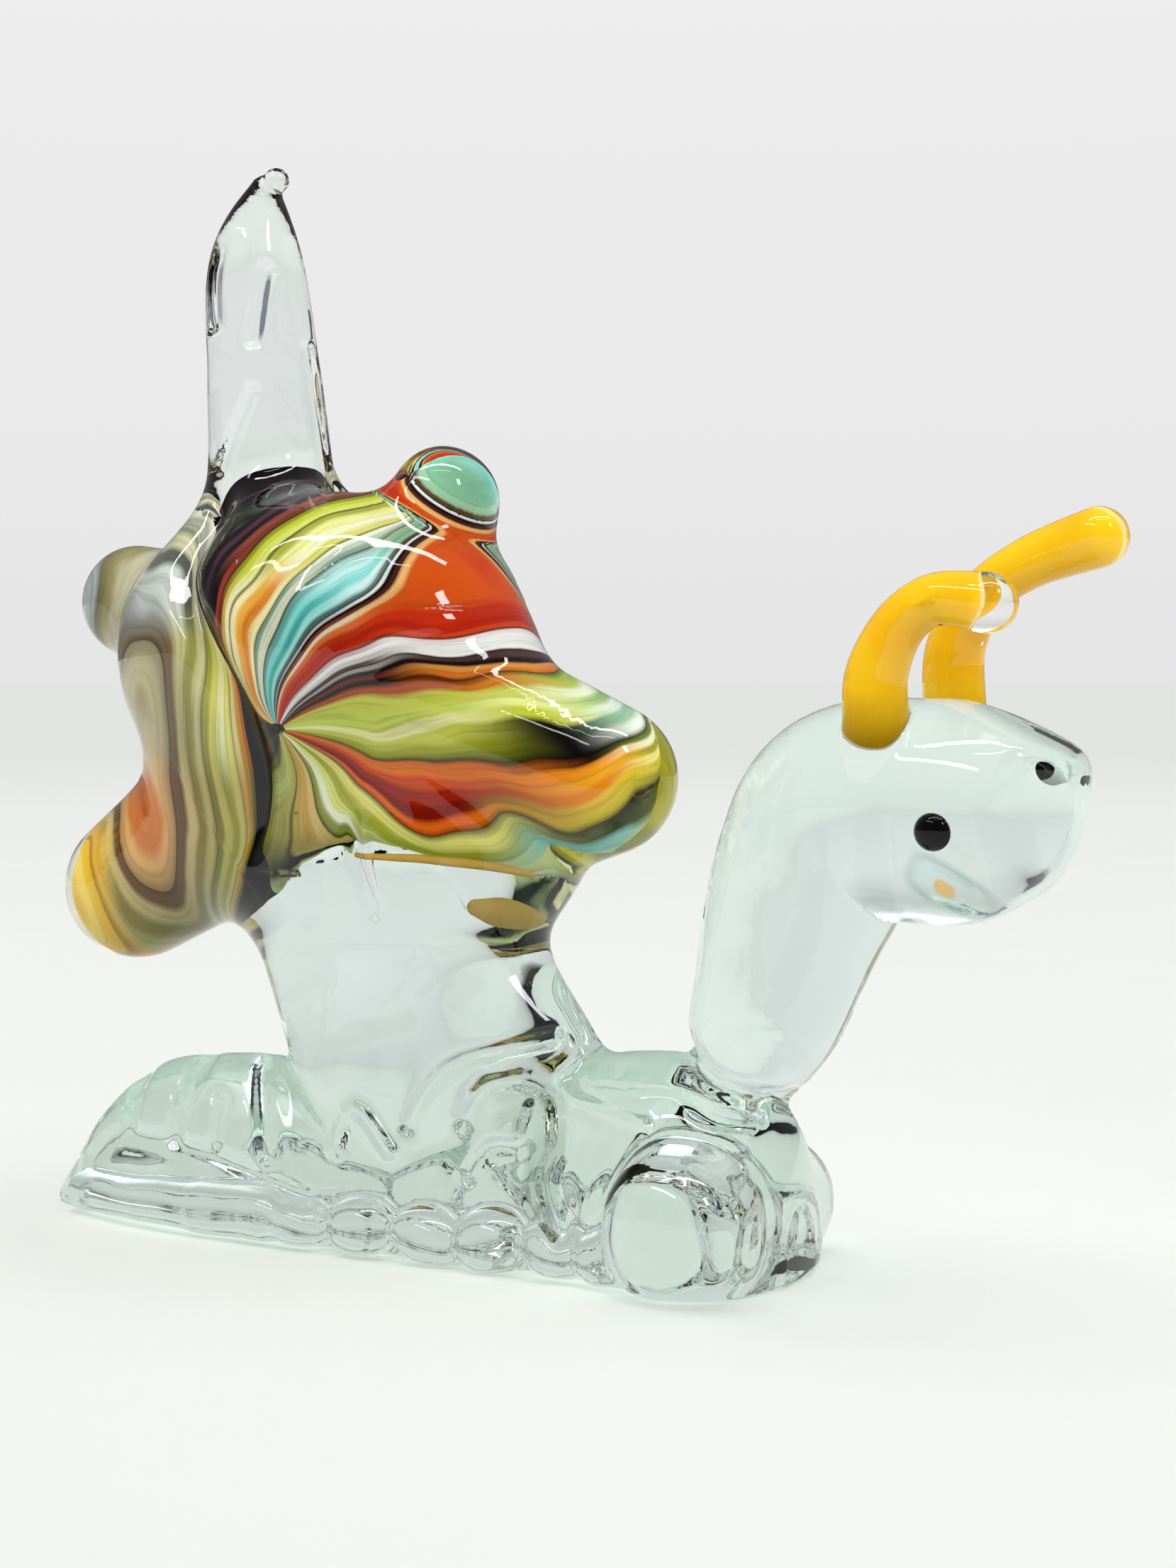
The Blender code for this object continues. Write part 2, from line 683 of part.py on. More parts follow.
ground_cutter = ground()
foot_cutter = foot_form("foot_cutter", SEAT_GAP)
head_cutter = head_form("head_cutter", SEAT_GAP)
casing_cutter = shell_form("casing_cutter", CASING_OUTSIDE + SEAT_GAP)
stem_cutter = stem_form("stem_cutter", SEAT_GAP)
spire_cutter = tube("spire_cutter", spire_stations(SEAT_GAP))

make_foot()
for lobe in LOBES:
    make_lobe(lobe)
for side_name, side in SIDES:
    make_crimped_edge(side_name + "_crimped_edge", side, lobe_rear(side))
make_eye("right_eye", -1, RIGHT_EYE_DROP)
make_eye("left_eye", 1, LEFT_EYE_DROP)
make_head()
make_tentacle(
    "right", -1, RIGHT_TENTACLE_AHEAD, RIGHT_TENTACLE_RISE, RIGHT_TENTACLE_REACH, RIGHT_TENTACLE_BENDS
)
make_tentacle("left", 1, LEFT_TENTACLE_AHEAD, LEFT_TENTACLE_RISE, LEFT_TENTACLE_REACH, LEFT_TENTACLE_BENDS)
make_shell_core()
make_canes()
make_casing()
make_stem()
make_spire()
for knob in KNOBS:
    make_knob(*knob)
bpy.context.view_layer.update()
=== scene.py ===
"""Looks of the glass snail: fused clear glass, a shell of twisted colour canes, yellow tentacles, black eyes.

The clear bits are one smooth body, worked out as a distance field and then split at the CAD bits' seats.
Fields are in millimetres, in the CAD frame: the snail faces +X, its right side is -Y and it stands on Z = 0.
"""

import math

import bpy
import numpy as np
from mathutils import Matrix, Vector


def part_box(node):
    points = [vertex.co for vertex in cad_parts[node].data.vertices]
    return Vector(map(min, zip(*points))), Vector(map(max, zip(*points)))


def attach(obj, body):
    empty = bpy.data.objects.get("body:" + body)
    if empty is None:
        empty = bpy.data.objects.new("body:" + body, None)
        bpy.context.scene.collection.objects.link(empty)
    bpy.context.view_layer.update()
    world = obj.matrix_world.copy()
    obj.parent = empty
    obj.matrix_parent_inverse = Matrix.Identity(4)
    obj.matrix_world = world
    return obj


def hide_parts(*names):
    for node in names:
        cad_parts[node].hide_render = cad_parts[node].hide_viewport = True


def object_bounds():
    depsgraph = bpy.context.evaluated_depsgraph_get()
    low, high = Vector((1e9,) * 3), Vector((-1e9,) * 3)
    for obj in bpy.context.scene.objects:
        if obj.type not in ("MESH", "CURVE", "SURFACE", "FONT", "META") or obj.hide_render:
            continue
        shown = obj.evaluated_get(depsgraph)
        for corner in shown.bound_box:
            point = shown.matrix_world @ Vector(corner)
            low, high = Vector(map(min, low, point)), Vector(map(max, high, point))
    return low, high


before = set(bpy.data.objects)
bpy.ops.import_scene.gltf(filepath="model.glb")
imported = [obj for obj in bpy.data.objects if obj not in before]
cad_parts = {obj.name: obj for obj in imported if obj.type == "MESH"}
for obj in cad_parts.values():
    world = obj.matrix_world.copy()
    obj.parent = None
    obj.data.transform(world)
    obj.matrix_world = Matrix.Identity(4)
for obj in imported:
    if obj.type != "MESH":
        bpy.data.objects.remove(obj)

CAD_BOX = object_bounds()

MM = 0.001
# The grid for the clear body's skin: a cell, cells in a block of the rough pass, margin round the CAD's box
CELL = 0.55
COARSE = 4
GRID_MARGIN = 2.5
# How near the skin the fine pass begins, a distance that is nowhere near, and the step for slopes
NEAR = 3.0
FAR = 1000.0
SLOPE_STEP = 0.04
# How often points are put on the skin, and how often those of the seats are evened out
SKIN_PASSES = 2
SEAT_PASSES = 6

# Camera: degrees round from the right side and up, millimetres off its target
CAMERA_TURN = 28.5
CAMERA_RISE = 2.2
CAMERA_DISTANCE = 310.0
CAMERA_TARGET = (18.0, 0.0, 54.3)
CAMERA_LENS = 62.56
# The photo's view, in which some lines were drawn: which way is across it and which way is nearer
VIEW = math.radians(CAMERA_TURN)
VIEW_ACROSS = np.array((math.cos(VIEW), math.sin(VIEW), 0.0))
VIEW_NEAR = np.array((math.sin(VIEW), -math.cos(VIEW), 0.0))

# Foot stations: (x, half width, height)
FOOT = [
    (-58.0, 1.6, 1.6), (-50.4, 5.2, 12.1), (-43.3, 7.6, 17.8), (-37.0, 9.2, 19.8), (-23.0, 10.2, 20.2),
    (-10.0, 10.5, 13.0), (5.0, 10.7, 18.6), (20.0, 11.1, 23.5), (33.0, 12.0, 24.0), (41.6, 11.0, 19.2),
    (44.5, 7.4, 12.0),
]
FOOT_POWER = 2.0 / 0.75
FOOT_END_ROUND = 5.0
FOOT_LEAST_SLOPE = 0.6
SOLE_ROUND = 1.0

# Crimped edges: a smooth strip by the tail, then pinched lumps as (x, half length, half height, lean)
STRIP_ENDS = (-50.0, -19.0)
STRIP_POINTS = 14
STRIP_RADIUS = (2.3, 3.3)
STRIP_UNEVEN = 0.12
STRIP_HEIGHT = (2.7, 3.3)
STRIP_OUT = 0.2
CRIMPS = [
    (-14.5, 4.8, 3.2, 0.18), (-5.6, 5.2, 3.6, -0.15), (3.6, 4.8, 3.3, 0.25), (12.2, 4.6, 3.8, -0.20),
    (20.4, 4.4, 3.4, 0.15), (27.0, 3.6, 3.2, -0.10),
]
CRIMP_WIDE = 3.4
CRIMP_OUT = 0.4
CRIMP_RAISED = 0.9
CRIMP_TURN = 0.3
CRIMP_BLEND = 1.2
CRIMP_SEED = 5

# Front lobes: centre, half sizes
LOBE_POWER = 2.2
LOBES = {
    "right_front_lobe": ((36.2, -13.0, 7.5), (8.3, 7.75, 8.5)),
    "left_front_lobe": ((34.5, 12.5, 6.25), (7.75, 7.5, 7.25)),
}

# Head and neck stations: (x, y, z, radius)
HEAD = [
    (37.9, 0.0, 12.0, 8.1), (40.9, 0.0, 30.1, 8.8), (45.1, 0.0, 43.4, 10.5), (50.2, 0.0, 51.5, 11.7),
    (59.6, 0.0, 52.2, 12.1), (66.5, 0.0, 51.9, 12.0), (70.0, 0.0, 51.0, 10.5),
]
# Flat cuts across the muzzle: a point on the cut, the way it faces and how round its edge is
MUZZLE_CUTS = [
    ((76.3, 0.0, 51.0), (1.0, 0.0, -0.12), 2.0),
    ((71.0, 0.0, 60.9), (0.454, 0.0, 0.891), 1.6),
    ((73.3, -7.0, 51.0), (0.80, -0.60, -0.05), 1.4),
    ((73.3, 7.0, 51.0), (0.80, 0.60, -0.05), 1.4),
    ((73.1, 0.0, 45.0), (0.623, 0.0, -0.782), 4.0),
]
MOUTH_AT = (65.0, 0.0, 44.7)
MOUTH_HALF = (4.7, 2.7)
MOUTH_DEPTH = 0.65
MOUTH_EDGE = (0.35, 1.0)
MOUTH_SIDE = (2.0, 7.0)
MOUTH_TILT = math.radians(33)
# Tints in the mouth: a darker ring of painted shade round its pinched edge, a paler middle and an orange
# spot: middle, half sizes, colour
MOUTH_TINTS_AND_SHADE = [
    (MOUTH_AT, (5.0, 3.0), (0.34, 0.50, 0.46)),
    (MOUTH_AT, (4.3, 2.3), (0.68, 0.88, 0.83)),
    ((64.4, 0.0, 44.6), (1.3, 1.0), (1.0, 0.46, 0.08)),
]
# Painted shade in the clear glass: darker patches where the foot's front mound is thick, and near black in
# the spire's slots: middle, half sizes, colour
BODY_PAINTED_SHADE = [
    ((14.5, 0.0, 17.5), (5.0, 3.2), (0.50, 0.62, 0.53)),
    ((17.5, 0.0, 11.5), (2.6, 6.0), (0.42, 0.53, 0.45)),
    ((-23.5, 0.0, 110.4), (0.6, 4.4), (0.06, 0.06, 0.08)),
    ((-29.4, 0.0, 112.4), (0.9, 4.0), (0.20, 0.20, 0.23)),
]

# Tentacles: root, rise, reach, how high the bends are in shares of the rise, clear glass past the core
TENTACLES = {
    "right": ((56.5, -7.8, 61.45), 13.0, 12.2, (0.80, 1.00, 0.97), 3.2),
    "left": ((59.3, 7.8, 61.45), 20.2, 16.0, (0.69, 0.86, 0.98), 1.7),
}
TENTACLE_RADIUS = 3.5
TENTACLE_TIP_RADIUS = 3.2
TENTACLE_SKIN = 0.75
TENTACLE_THIN = 0.80
# Where it is sunk into the head, upright and bent: depth, shares of rise and reach, and shares of its radius
TENTACLE_SUNK = 5.4
TENTACLE_SUNK_SWELL = 1.1
TENTACLE_UPRIGHT = 0.4
TENTACLE_UPRIGHT_THIN = 0.93
TENTACLE_BENDS = (0.21, 0.54)
CORE_IN_TIP = 0.4
CORE_SIDES = 32

EYE_RADIUS = 2.0
EYE_TALL = 1.35
EYE_ROUND = 1.2
EYE_STEPS = 10
EYE_SIDES = 40
# The head's axis and radius where the eyes sit
HEAD_AXIS, HEAD_RADIUS = HEAD[4][2:]

# Shell
SHELL_CENTRE = np.array(sum(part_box("shell_core"), Vector()) / 2) / MM
SHELL_TURN = math.radians(10)
SHELL_LEAN = math.radians(24)
CASING_HALF = np.array((27.2, 19.5, 21.8))
COLOUR_HALF = np.array((25.6, 17.9, 20.2))
TWIST = 38.0
# Ripples: height, count round, a finer second set (height, count, shift), and where they begin and end:
# latitudes in radians, and millimetres in front of the crease
RIPPLE = 0.16
RIPPLE_COUNT = 13
RIPPLE_SECOND = (0.5, 2.3, 1.0)
RIPPLE_FROM = (0.35, 0.7)
RIPPLE_TO = (0.75, 1.15)
RIPPLE_AHEAD = (2.0, 6.0)

# Knobs: root and bulb (ahead of the shell's centre, above it), left, root radius, bulb radius, how softly
# it runs into the shell
KNOBS = {
    "upper_front_knob": ((8.0, 10.0), (13.9, 18.5), 1.0, 9.0, 7.0, 3.5),
    "front_knob": ((15.0, -5.0), (36.2, -13.0), -1.0, 12.0, 8.8, 4.5),
    "upper_rear_knob": ((-15.0, 4.0), (-29.8, 7.8), 0.0, 10.5, 7.0, 5.0),
    "lower_rear_knob": ((-10.0, -15.5), (-29.2, -27.4), -1.0, 13.5, 9.0, 5.0),
}
KNOB_STEPS = 3
# The colour in each knob: how far along it reaches, the clear skin over it, how far ahead and up it is drawn
KNOB_COLOURS = {
    "upper_front_knob": (0.97, 2.3, (0.7, 0.0)),
    "front_knob": (0.88, 2.4, (0.0, -0.5)),
    "upper_rear_knob": (1.0, 1.6, (0.1, -0.1)),
    "lower_rear_knob": (0.95, 1.9, (0.5, -0.4)),
}
# Shallow dents between the shell's knobs: centre, spread, depth
DENTS = [((8.0, 7.0, 74.5), 6.0, 2.2), ((-11.0, 1.0, 90.0), 4.0, 2.6)]

# Stem stations: (z, x, half length, half width)
STEM = [
    (5.1, -9.0, 9.5, 7.0), (11.9, -6.0, 14.0, 9.0), (21.6, -1.5, 20.9, 9.75), (35.1, -7.2, 19.0, 12.5),
    (46.2, -7.2, 22.6, 14.7), (68.0, -16.0, 19.0, 10.0),
]
STEM_END_ROUND = 2.0

# Spire stations: (x, y, z, radius)
SPIRE = [
    (-25.5, 0.0, 76.9, 10.5), (-25.5, 0.0, 89.8, 7.8), (-26.55, 0.0, 102.8, 6.75), (-27.6, 0.0, 115.8, 5.7),
    (-26.35, 0.0, 125.1, 1.7),
]
BEAD_AT = (-24.6, 0.0, 126.1)
BEAD_RADIUS = 1.5

# Crease between the shell's fan and its rear roll: (z, x) up the side
CREASE = [(38.0, -22.0), (45.0, -19.5), (54.7, -17.0), (62.0, -17.2), (66.9, -18.9), (72.6, -22.5),
          (78.2, -26.0), (84.0, -26.0), (90.0, -26.0)]
CREASE_DEPTH = 2.2
CREASE_WIDTH = 2.4
# Where it begins and is full to the side and from below, and where it ends above
CREASE_OUT = (3.0, 9.0)
CREASE_FROM = (43.0, 50.0)
CREASE_TO = (82.0, 92.0)

# The rear roll's bands ring a notch, as the photo sees it: place across and height, how far the rings are
# drawn out below and above it, and how square they are
ROLL_AT = (-36.2, 50.0)
ROLL_STRETCH = (2.0, 4.6)
ROLL_POWER = 2.6

# Where the colour has run down into the stem: its lower end as (x, z) and the clear skin over it
RUN_LOW = [(-30.0, 47.0), (-17.0, 46.5), (-6.0, 47.5), (4.0, 45.0), (16.0, 44.0), (30.0, 43.5)]
RUN_SKIN = 1.6
RUN_ROUND = 7.0
# How softly the colours run into each other, how much wider the crease is in them, and the gap round them
COLOUR_BLEND = 3.0
COLOUR_CREASE = 1.1
COLOUR_GAP = 0.25
# The glass's uneven swell: height, size, seed; the same for the low parts, and the heights where those end
SWELL = (0.10, 14.0, 3)
LOW_SWELL = (0.08, 9.0, 8)
LOW_PARTS = (20.0, 30.0)
FLOOR_ROUND = 0.3

# Fold lines left by the tools, as the photo sees them: depth (less than 0 for a ridge), width, how near they
# begin and the line as (across, up)
FOLD_RUN = 3.0
FOLD_REACH = 3
FOLDS = [
    (1.7, 1.0, -12.5, [(-28.5, 116.7), (-29.0, 113.1), (-28.5, 108.8)]),
    (1.6, 0.9, -11.0, [(-22.6, 114.8), (-23.4, 110.6), (-24.1, 106.6)]),
    (0.9, 0.9, -12.0, [(-17.7, 105.6), (-17.0, 99.7), (-16.0, 93.8), (-14.5, 88.8)]),
    (0.9, 0.9, -12.0, [(-23.9, 100.1), (-25.5, 96.4), (-27.8, 91.3)]),
    (1.9, 1.0, -19.0, [(-31.1, 19.6), (-33.1, 15.2), (-34.2, 11.2)]),
    (1.4, 0.9, -17.0, [(-27.9, 15.2), (-28.7, 10.9)]),
    (1.6, 1.0, -15.0, [(-23.4, 19.1), (-22.3, 9.7)]),
    (1.5, 1.0, -22.0, [(-39.2, 18.1), (-40.8, 11.3)]),
    (0.8, 1.0, -22.0, [(-45.9, 6.5), (-41.2, 10.4), (-30.4, 9.6), (-17.2, 5.7)]),
    (1.3, 1.0, 2.0, [(-4.8, 15.0), (-2.6, 19.4), (1.7, 23.0), (11.8, 25.6)]),
    (1.9, 1.1, 4.0, [
        (1.8, 16.1), (4.0, 19.7), (8.3, 21.1), (11.9, 19.0), (12.6, 14.6), (11.1, 10.3), (12.6, 5.3)]),
    (1.4, 1.0, 4.0, [(2.5, 10.3), (4.7, 13.2), (8.3, 13.9), (9.7, 17.5)]),
    (-0.5, 0.9, 6.0, [(3.4, 22.4), (14.7, 19.3), (21.8, 17.8)]),
    (-0.5, 0.9, 10.0, [(16.2, 21.3), (26.0, 21.6), (34.4, 18.5)]),
    (1.6, 1.3, 14.0, [(25.8, 26.7), (29.9, 22.5), (38.9, 19.4)]),
    (-0.8, 1.0, -4.0, [(-13.8, 11.4), (-11.2, 16.6), (-7.2, 12.1)]),
    (0.9, 1.0, 2.0, [(-10.7, 50.8), (-10.3, 46.8), (-8.3, 39.9)]),
]

# The dark cap of colour under the spire
CAP_AT = np.array((-24.0, 0.0, 84.3))
CAP_HALF = (6.2, 6.0, 6.0)
CAP_SPREAD = (8.0, 9.0, 8.5)
CAP_EDGE = (0.75, 1.0)
CAP_TWIST = 2.0


def to_linear(colour):
    """Linear colour from 0 to 255 screen values."""
    found = []
    for value in colour:
        share = value / 255
        found.append(share / 12.92 if share <= 0.04045 else ((share + 0.055) / 1.055) ** 2.4)
    return found


# Field shapes


CURVE_STEPS = 8


def curve(stations, steps=CURVE_STEPS):
    """Points on a Catmull-Rom curve through the stations."""
    given = np.array(stations, float)
    padded = np.vstack([given[:1], given, given[-1:]])
    t = np.arange(steps)[:, None] / steps
    found = []
    for p, q, r, s in zip(padded, padded[1:], padded[2:], padded[3:]):
        found.append(0.5 * (2 * q + (r - p) * t + (2 * p - 5 * q + 4 * r - s) * t**2
                            + (3 * q - p - 3 * r + s) * t**3))
    return np.vstack(found + [given[-1:]])


def smooth_min(a, b, blend):
    """The lesser of two fields, with the corner between them rounded off."""
    h = np.maximum(blend - np.abs(a - b), 0.0) / blend
    return np.minimum(a, b) - h * h * blend / 4


def smooth_max(a, b, blend):
    return -smooth_min(-a, -b, blend)


def smooth_step(x, low, high):
    t = np.clip((x - low) / (high - low), 0.0, 1.0)
    return t * t * (3 - 2 * t)


def chain(points, line):
    """Distance to a round tube of changing radius along a line of (x, y, z, radius)."""
    best = np.full(len(points), FAR)
    for start, end in zip(line, line[1:]):
        along = end[:3] - start[:3]
        off = points - start[:3]
        share = np.clip(off @ along / (along @ along), 0.0, 1.0)
        off -= share[:, None] * along
        gap = np.sqrt(np.einsum("ij,ij->i", off, off)) - start[3] - share * (end[3] - start[3])
        np.minimum(best, gap, out=best)
    return best


def ellipsoid(points, centre, half, axes=None, power=2.0):
    """Distance to an ellipsoid, good near its skin. The columns of axes are its own directions, and a power
    over 2 makes it squarer."""
    local = points - np.asarray(centre)
    if axes is not None:
        local = local @ axes
    half = np.asarray(half)
    share = np.abs(local) / half
    if power == 2.0:
        size = np.sqrt((share**2).sum(1))
        slope = np.sqrt(((share / half) ** 2).sum(1))
        return size * (size - 1) / np.maximum(slope, 1e-6)
    size = np.maximum((share**power).sum(1) ** (1 / power), 0.05)
    slope = np.sqrt(((share ** (power - 1) / half) ** 2).sum(1)) * size ** (1 - power)
    return (size - 1) / np.maximum(slope, 1e-6)


def turned(angle, axis):
    """A rotation matrix about one axis."""
    c, s = math.cos(angle), math.sin(angle)
    if axis == "X":
        return np.array([[1, 0, 0], [0, c, -s], [0, s, c]])
    if axis == "Y":
        return np.array([[c, 0, s], [0, 1, 0], [-s, 0, c]])
    return np.array([[c, -s, 0], [s, c, 0], [0, 0, 1]])


SHELL_AXES = turned(SHELL_TURN, "Z") @ turned(SHELL_LEAN, "X")


WAVE_COUNT = 5
WAVE_SIZES = (0.8, 1.6)


def waves(points, size, seed):
    """A gentle uneven swell of about -1 to 1, with bumps of this size."""
    rng = np.random.default_rng(seed)
    found = np.zeros(len(points))
    for _ in range(WAVE_COUNT):
        way = rng.normal(size=3)
        way *= 2 * math.pi / (size * rng.uniform(*WAVE_SIZES)) / np.linalg.norm(way)
        found += np.sin(points @ way + rng.uniform(0, 2 * math.pi))
    return found / (WAVE_COUNT / 2)


FOOT_LINE = curve(FOOT, 40)
STEM_LINE = curve(STEM, 40)
CREASE_LINE = curve(CREASE, 20)


class Line:
    """A line of (x, y, z, radius), coarse for the many points of the grid and fine for those of the skin."""

    fine = False
    finer = 4

    def __init__(self, stations, steps=6):
        self.forms = {False: curve(stations, steps), True: curve(stations, steps * Line.finer)}

    def field(self, points):
        return chain(points, self.forms[Line.fine])


HEAD_LINE = Line(HEAD)


def on_line(line, at, column):
    """Values of one column of a line, between its points."""
    return np.interp(at, line[:, 0], line[:, column])


def on_sole(gap, z):
    """Cuts a field off at the sole."""
    return smooth_max(gap, -z, SOLE_ROUND)


def foot_field(points):
    x, y, z = points.T
    wide = on_line(FOOT_LINE, x, 1)
    high = on_line(FOOT_LINE, x, 2)
    up = np.maximum(z, 0.0) / high
    size = (y / wide) ** 2 + up**FOOT_POWER
    slope = np.hypot(2 * y / wide**2, FOOT_POWER * up ** (FOOT_POWER - 1) / high)
    gap = (size - 1) / np.maximum(slope, FOOT_LEAST_SLOPE / wide)
    gap = smooth_max(gap, x - FOOT_LINE[-1, 0], FOOT_END_ROUND)
    gap = smooth_max(gap, FOOT_LINE[0, 0] - x, SOLE_ROUND)
    return on_sole(gap, z)


def between(ends, share):
    return ends[0] + share * (ends[1] - ends[0])


def crimp_field(side):
    rng = np.random.default_rng(CRIMP_SEED)
    strip = []
    for share in np.linspace(0.0, 1.0, STRIP_POINTS):
        x = between(STRIP_ENDS, share)
        radius = between(STRIP_RADIUS, share) + rng.uniform(-STRIP_UNEVEN, STRIP_UNEVEN)
        out = side * (on_line(FOOT_LINE, x, 1) + STRIP_OUT)
        strip.append((x, out, between(STRIP_HEIGHT, share), radius))
    strip = np.array(strip)
    lumps = []
    for x, long, high, lean in CRIMPS:
        axes = turned(lean, "Y") @ turned(side * rng.uniform(-CRIMP_TURN, CRIMP_TURN), "Z")
        out = side * (on_line(FOOT_LINE, x, 1) + CRIMP_OUT)
        lumps.append(((x, out, high * CRIMP_RAISED), (long, CRIMP_WIDE, high), axes))

    def field(points):
        gap = chain(points, strip)
        for centre, half, axes in lumps:
            gap = smooth_min(gap, ellipsoid(points, centre, half, axes), CRIMP_BLEND)
        return on_sole(gap, points[:, 2])

    return field


def lobe_field(centre, half):
    def field(points):
        return on_sole(ellipsoid(points, centre, half, None, LOBE_POWER), points[:, 2])

    return field


def mouth_cut(points):
    """How deep the mouth is pinched in."""
    off = np.abs((points - MOUTH_AT) @ turned(MOUTH_TILT, "Y"))
    size = ((off[:, 0] / MOUTH_HALF[0]) ** 3 + (off[:, 2] / MOUTH_HALF[1]) ** 3) ** (1 / 3)
    return MOUTH_DEPTH * (1 - smooth_step(size, *MOUTH_EDGE)) * smooth_step(-points[:, 1], *MOUTH_SIDE)


def head_field(points):
    gap = HEAD_LINE.field(points)
    for place, way, edge in MUZZLE_CUTS:
        way = np.array(way) / np.linalg.norm(way)
        gap = smooth_max(gap, (points - place) @ way, edge)
    return gap + mouth_cut(points)


def tentacle_stations(side):
    """A tentacle's line as (x, y, z, radius), from inside the head to the tip."""
    (x, y, z), rise, reach, high, _ = TENTACLES[side]
    thin = TENTACLE_RADIUS * TENTACLE_THIN
    bends = [
        (0.0, -TENTACLE_SUNK, TENTACLE_RADIUS * TENTACLE_SUNK_SWELL),
        (0.0, 0.0, TENTACLE_RADIUS),
        (0.0, rise * TENTACLE_UPRIGHT, TENTACLE_RADIUS * TENTACLE_UPRIGHT_THIN),
        *((reach * share, rise * up, thin) for share, up in zip(TENTACLE_BENDS, high)),
        (reach, rise * high[2], TENTACLE_TIP_RADIUS),
    ]
    return [(x + along, y, z + up, radius) for along, up, radius in bends]


def core_line(side):
    """The yellow core's line: the tentacle's, thinner, from inside the head to short of the tip."""
    line = curve(tentacle_stations(side))[CURVE_STEPS:]
    lengths = np.append(0.0, np.cumsum(np.linalg.norm(np.diff(line[:, :3], axis=0), axis=1)))
    tip_glass = TENTACLES[side][4]
    line = line[lengths < lengths[-1] - tip_glass + TENTACLE_TIP_RADIUS * CORE_IN_TIP].copy()
    line[:, 3] -= TENTACLE_SKIN
    return line


def stem_field(points):
    x, y, z = points.T
    middle, long, wide = (on_line(STEM_LINE, z, column) for column in (1, 2, 3))
    size = np.hypot((x - middle) / long, y / wide)
    slope = np.hypot((x - middle) / long**2, y / wide**2)
    gap = size * (size - 1) / np.maximum(slope, 1e-4)
    gap = smooth_max(gap, z - STEM_LINE[-1, 0], STEM_END_ROUND)
    return smooth_max(gap, STEM_LINE[0, 0] - z, STEM_END_ROUND)


def casing_field(points):
    return ellipsoid(points, SHELL_CENTRE, CASING_HALF, SHELL_AXES)


def knob_stations(name):
    """A knob's root, middle and bulb as (x, y, z, radius)."""
    root, bulb, left, root_radius, radius, _ = KNOBS[name]
    start = SHELL_CENTRE + (root[0], left, root[1])
    end = SHELL_CENTRE + (bulb[0], left, bulb[1])
    middle = (root_radius + 2 * radius) / 3
    return np.array([(*start, root_radius), (*(start + end) / 2, middle), (*end, radius)])


def knob_colour_line(name):
    """The line of the colour inside a knob."""
    share, skin, (ahead, up) = KNOB_COLOURS[name]
    stations = knob_stations(name)
    stations[:, :3] = stations[0, :3] + share * (stations[:, :3] - stations[0, :3]) + (ahead, 0.0, up)
    stations[:, 3] -= skin
    return curve(stations, KNOB_STEPS)


def crease_side(points):
    """How far in front of the crease a point is."""
    return points[:, 0] - on_line(CREASE_LINE, points[:, 2], 1)


def crease_cut(points, width=CREASE_WIDTH):
    """How deep the crease is pressed in at a point."""
    _, y, z = points.T
    inside = smooth_step(np.abs(y), *CREASE_OUT) * smooth_step(z, *CREASE_FROM)
    inside *= 1 - smooth_step(z, *CREASE_TO)
    return CREASE_DEPTH * inside * np.exp(-((crease_side(points) / width) ** 2))


def ripples(points):
    """The ridges that the twist leaves on the fan's casing."""
    local = (points - SHELL_CENTRE) @ SHELL_AXES / COLOUR_HALF
    local /= np.maximum(np.linalg.norm(local, axis=1), 1e-6)[:, None]
    latitude = np.arcsin(-local[:, 1])
    twist = np.arctan2(local[:, 0], local[:, 2]) + math.radians(TWIST) * latitude
    fan = smooth_step(np.abs(latitude), *RIPPLE_FROM) * (1 - smooth_step(np.abs(latitude), *RIPPLE_TO))
    fan *= smooth_step(crease_side(points), *RIPPLE_AHEAD)
    height, count, shift = RIPPLE_SECOND
    second = height * np.sin(count * RIPPLE_COUNT * twist + shift)
    return RIPPLE * fan * (np.sin(RIPPLE_COUNT * twist) + second)


def dents(points):
    """How deep the shell is dented at each point."""
    found = np.zeros(len(points))
    for centre, spread, depth in DENTS:
        off = points - centre
        found += depth * np.exp(-np.einsum("ij,ij->i", off, off) / (2 * spread**2))
    return found


def folds(points):
    """How deep the tools' fold lines are pressed in at each point."""
    c, s = math.cos(VIEW), math.sin(VIEW)
    seen = np.stack([c * points[:, 0] + s * points[:, 1], points[:, 2], np.zeros(len(points))], 1)
    near = s * points[:, 0] - c * points[:, 1]
    found = np.zeros(len(points))
    for depth, width, start, line in FOLD_LINES:
        low, high = line[:, :2].min(0) - FOLD_REACH * width, line[:, :2].max(0) + FOLD_REACH * width
        at = np.flatnonzero(np.all((seen[:, :2] > low) & (seen[:, :2] < high), axis=1) & (near > start))
        gap = chain(seen[at], line)
        found[at] += depth * smooth_step(near[at], start, start + FOLD_RUN) * np.exp(-((gap / width) ** 2))
    return found


def fold_line(stations):
    flat = curve(stations, 4)
    return np.column_stack([flat, np.zeros_like(flat)])


FOLD_LINES = [(depth, width, start, fold_line(line)) for depth, width, start, line in FOLDS]


def bead_field(points):
    return np.linalg.norm(points - BEAD_AT, axis=1) - BEAD_RADIUS


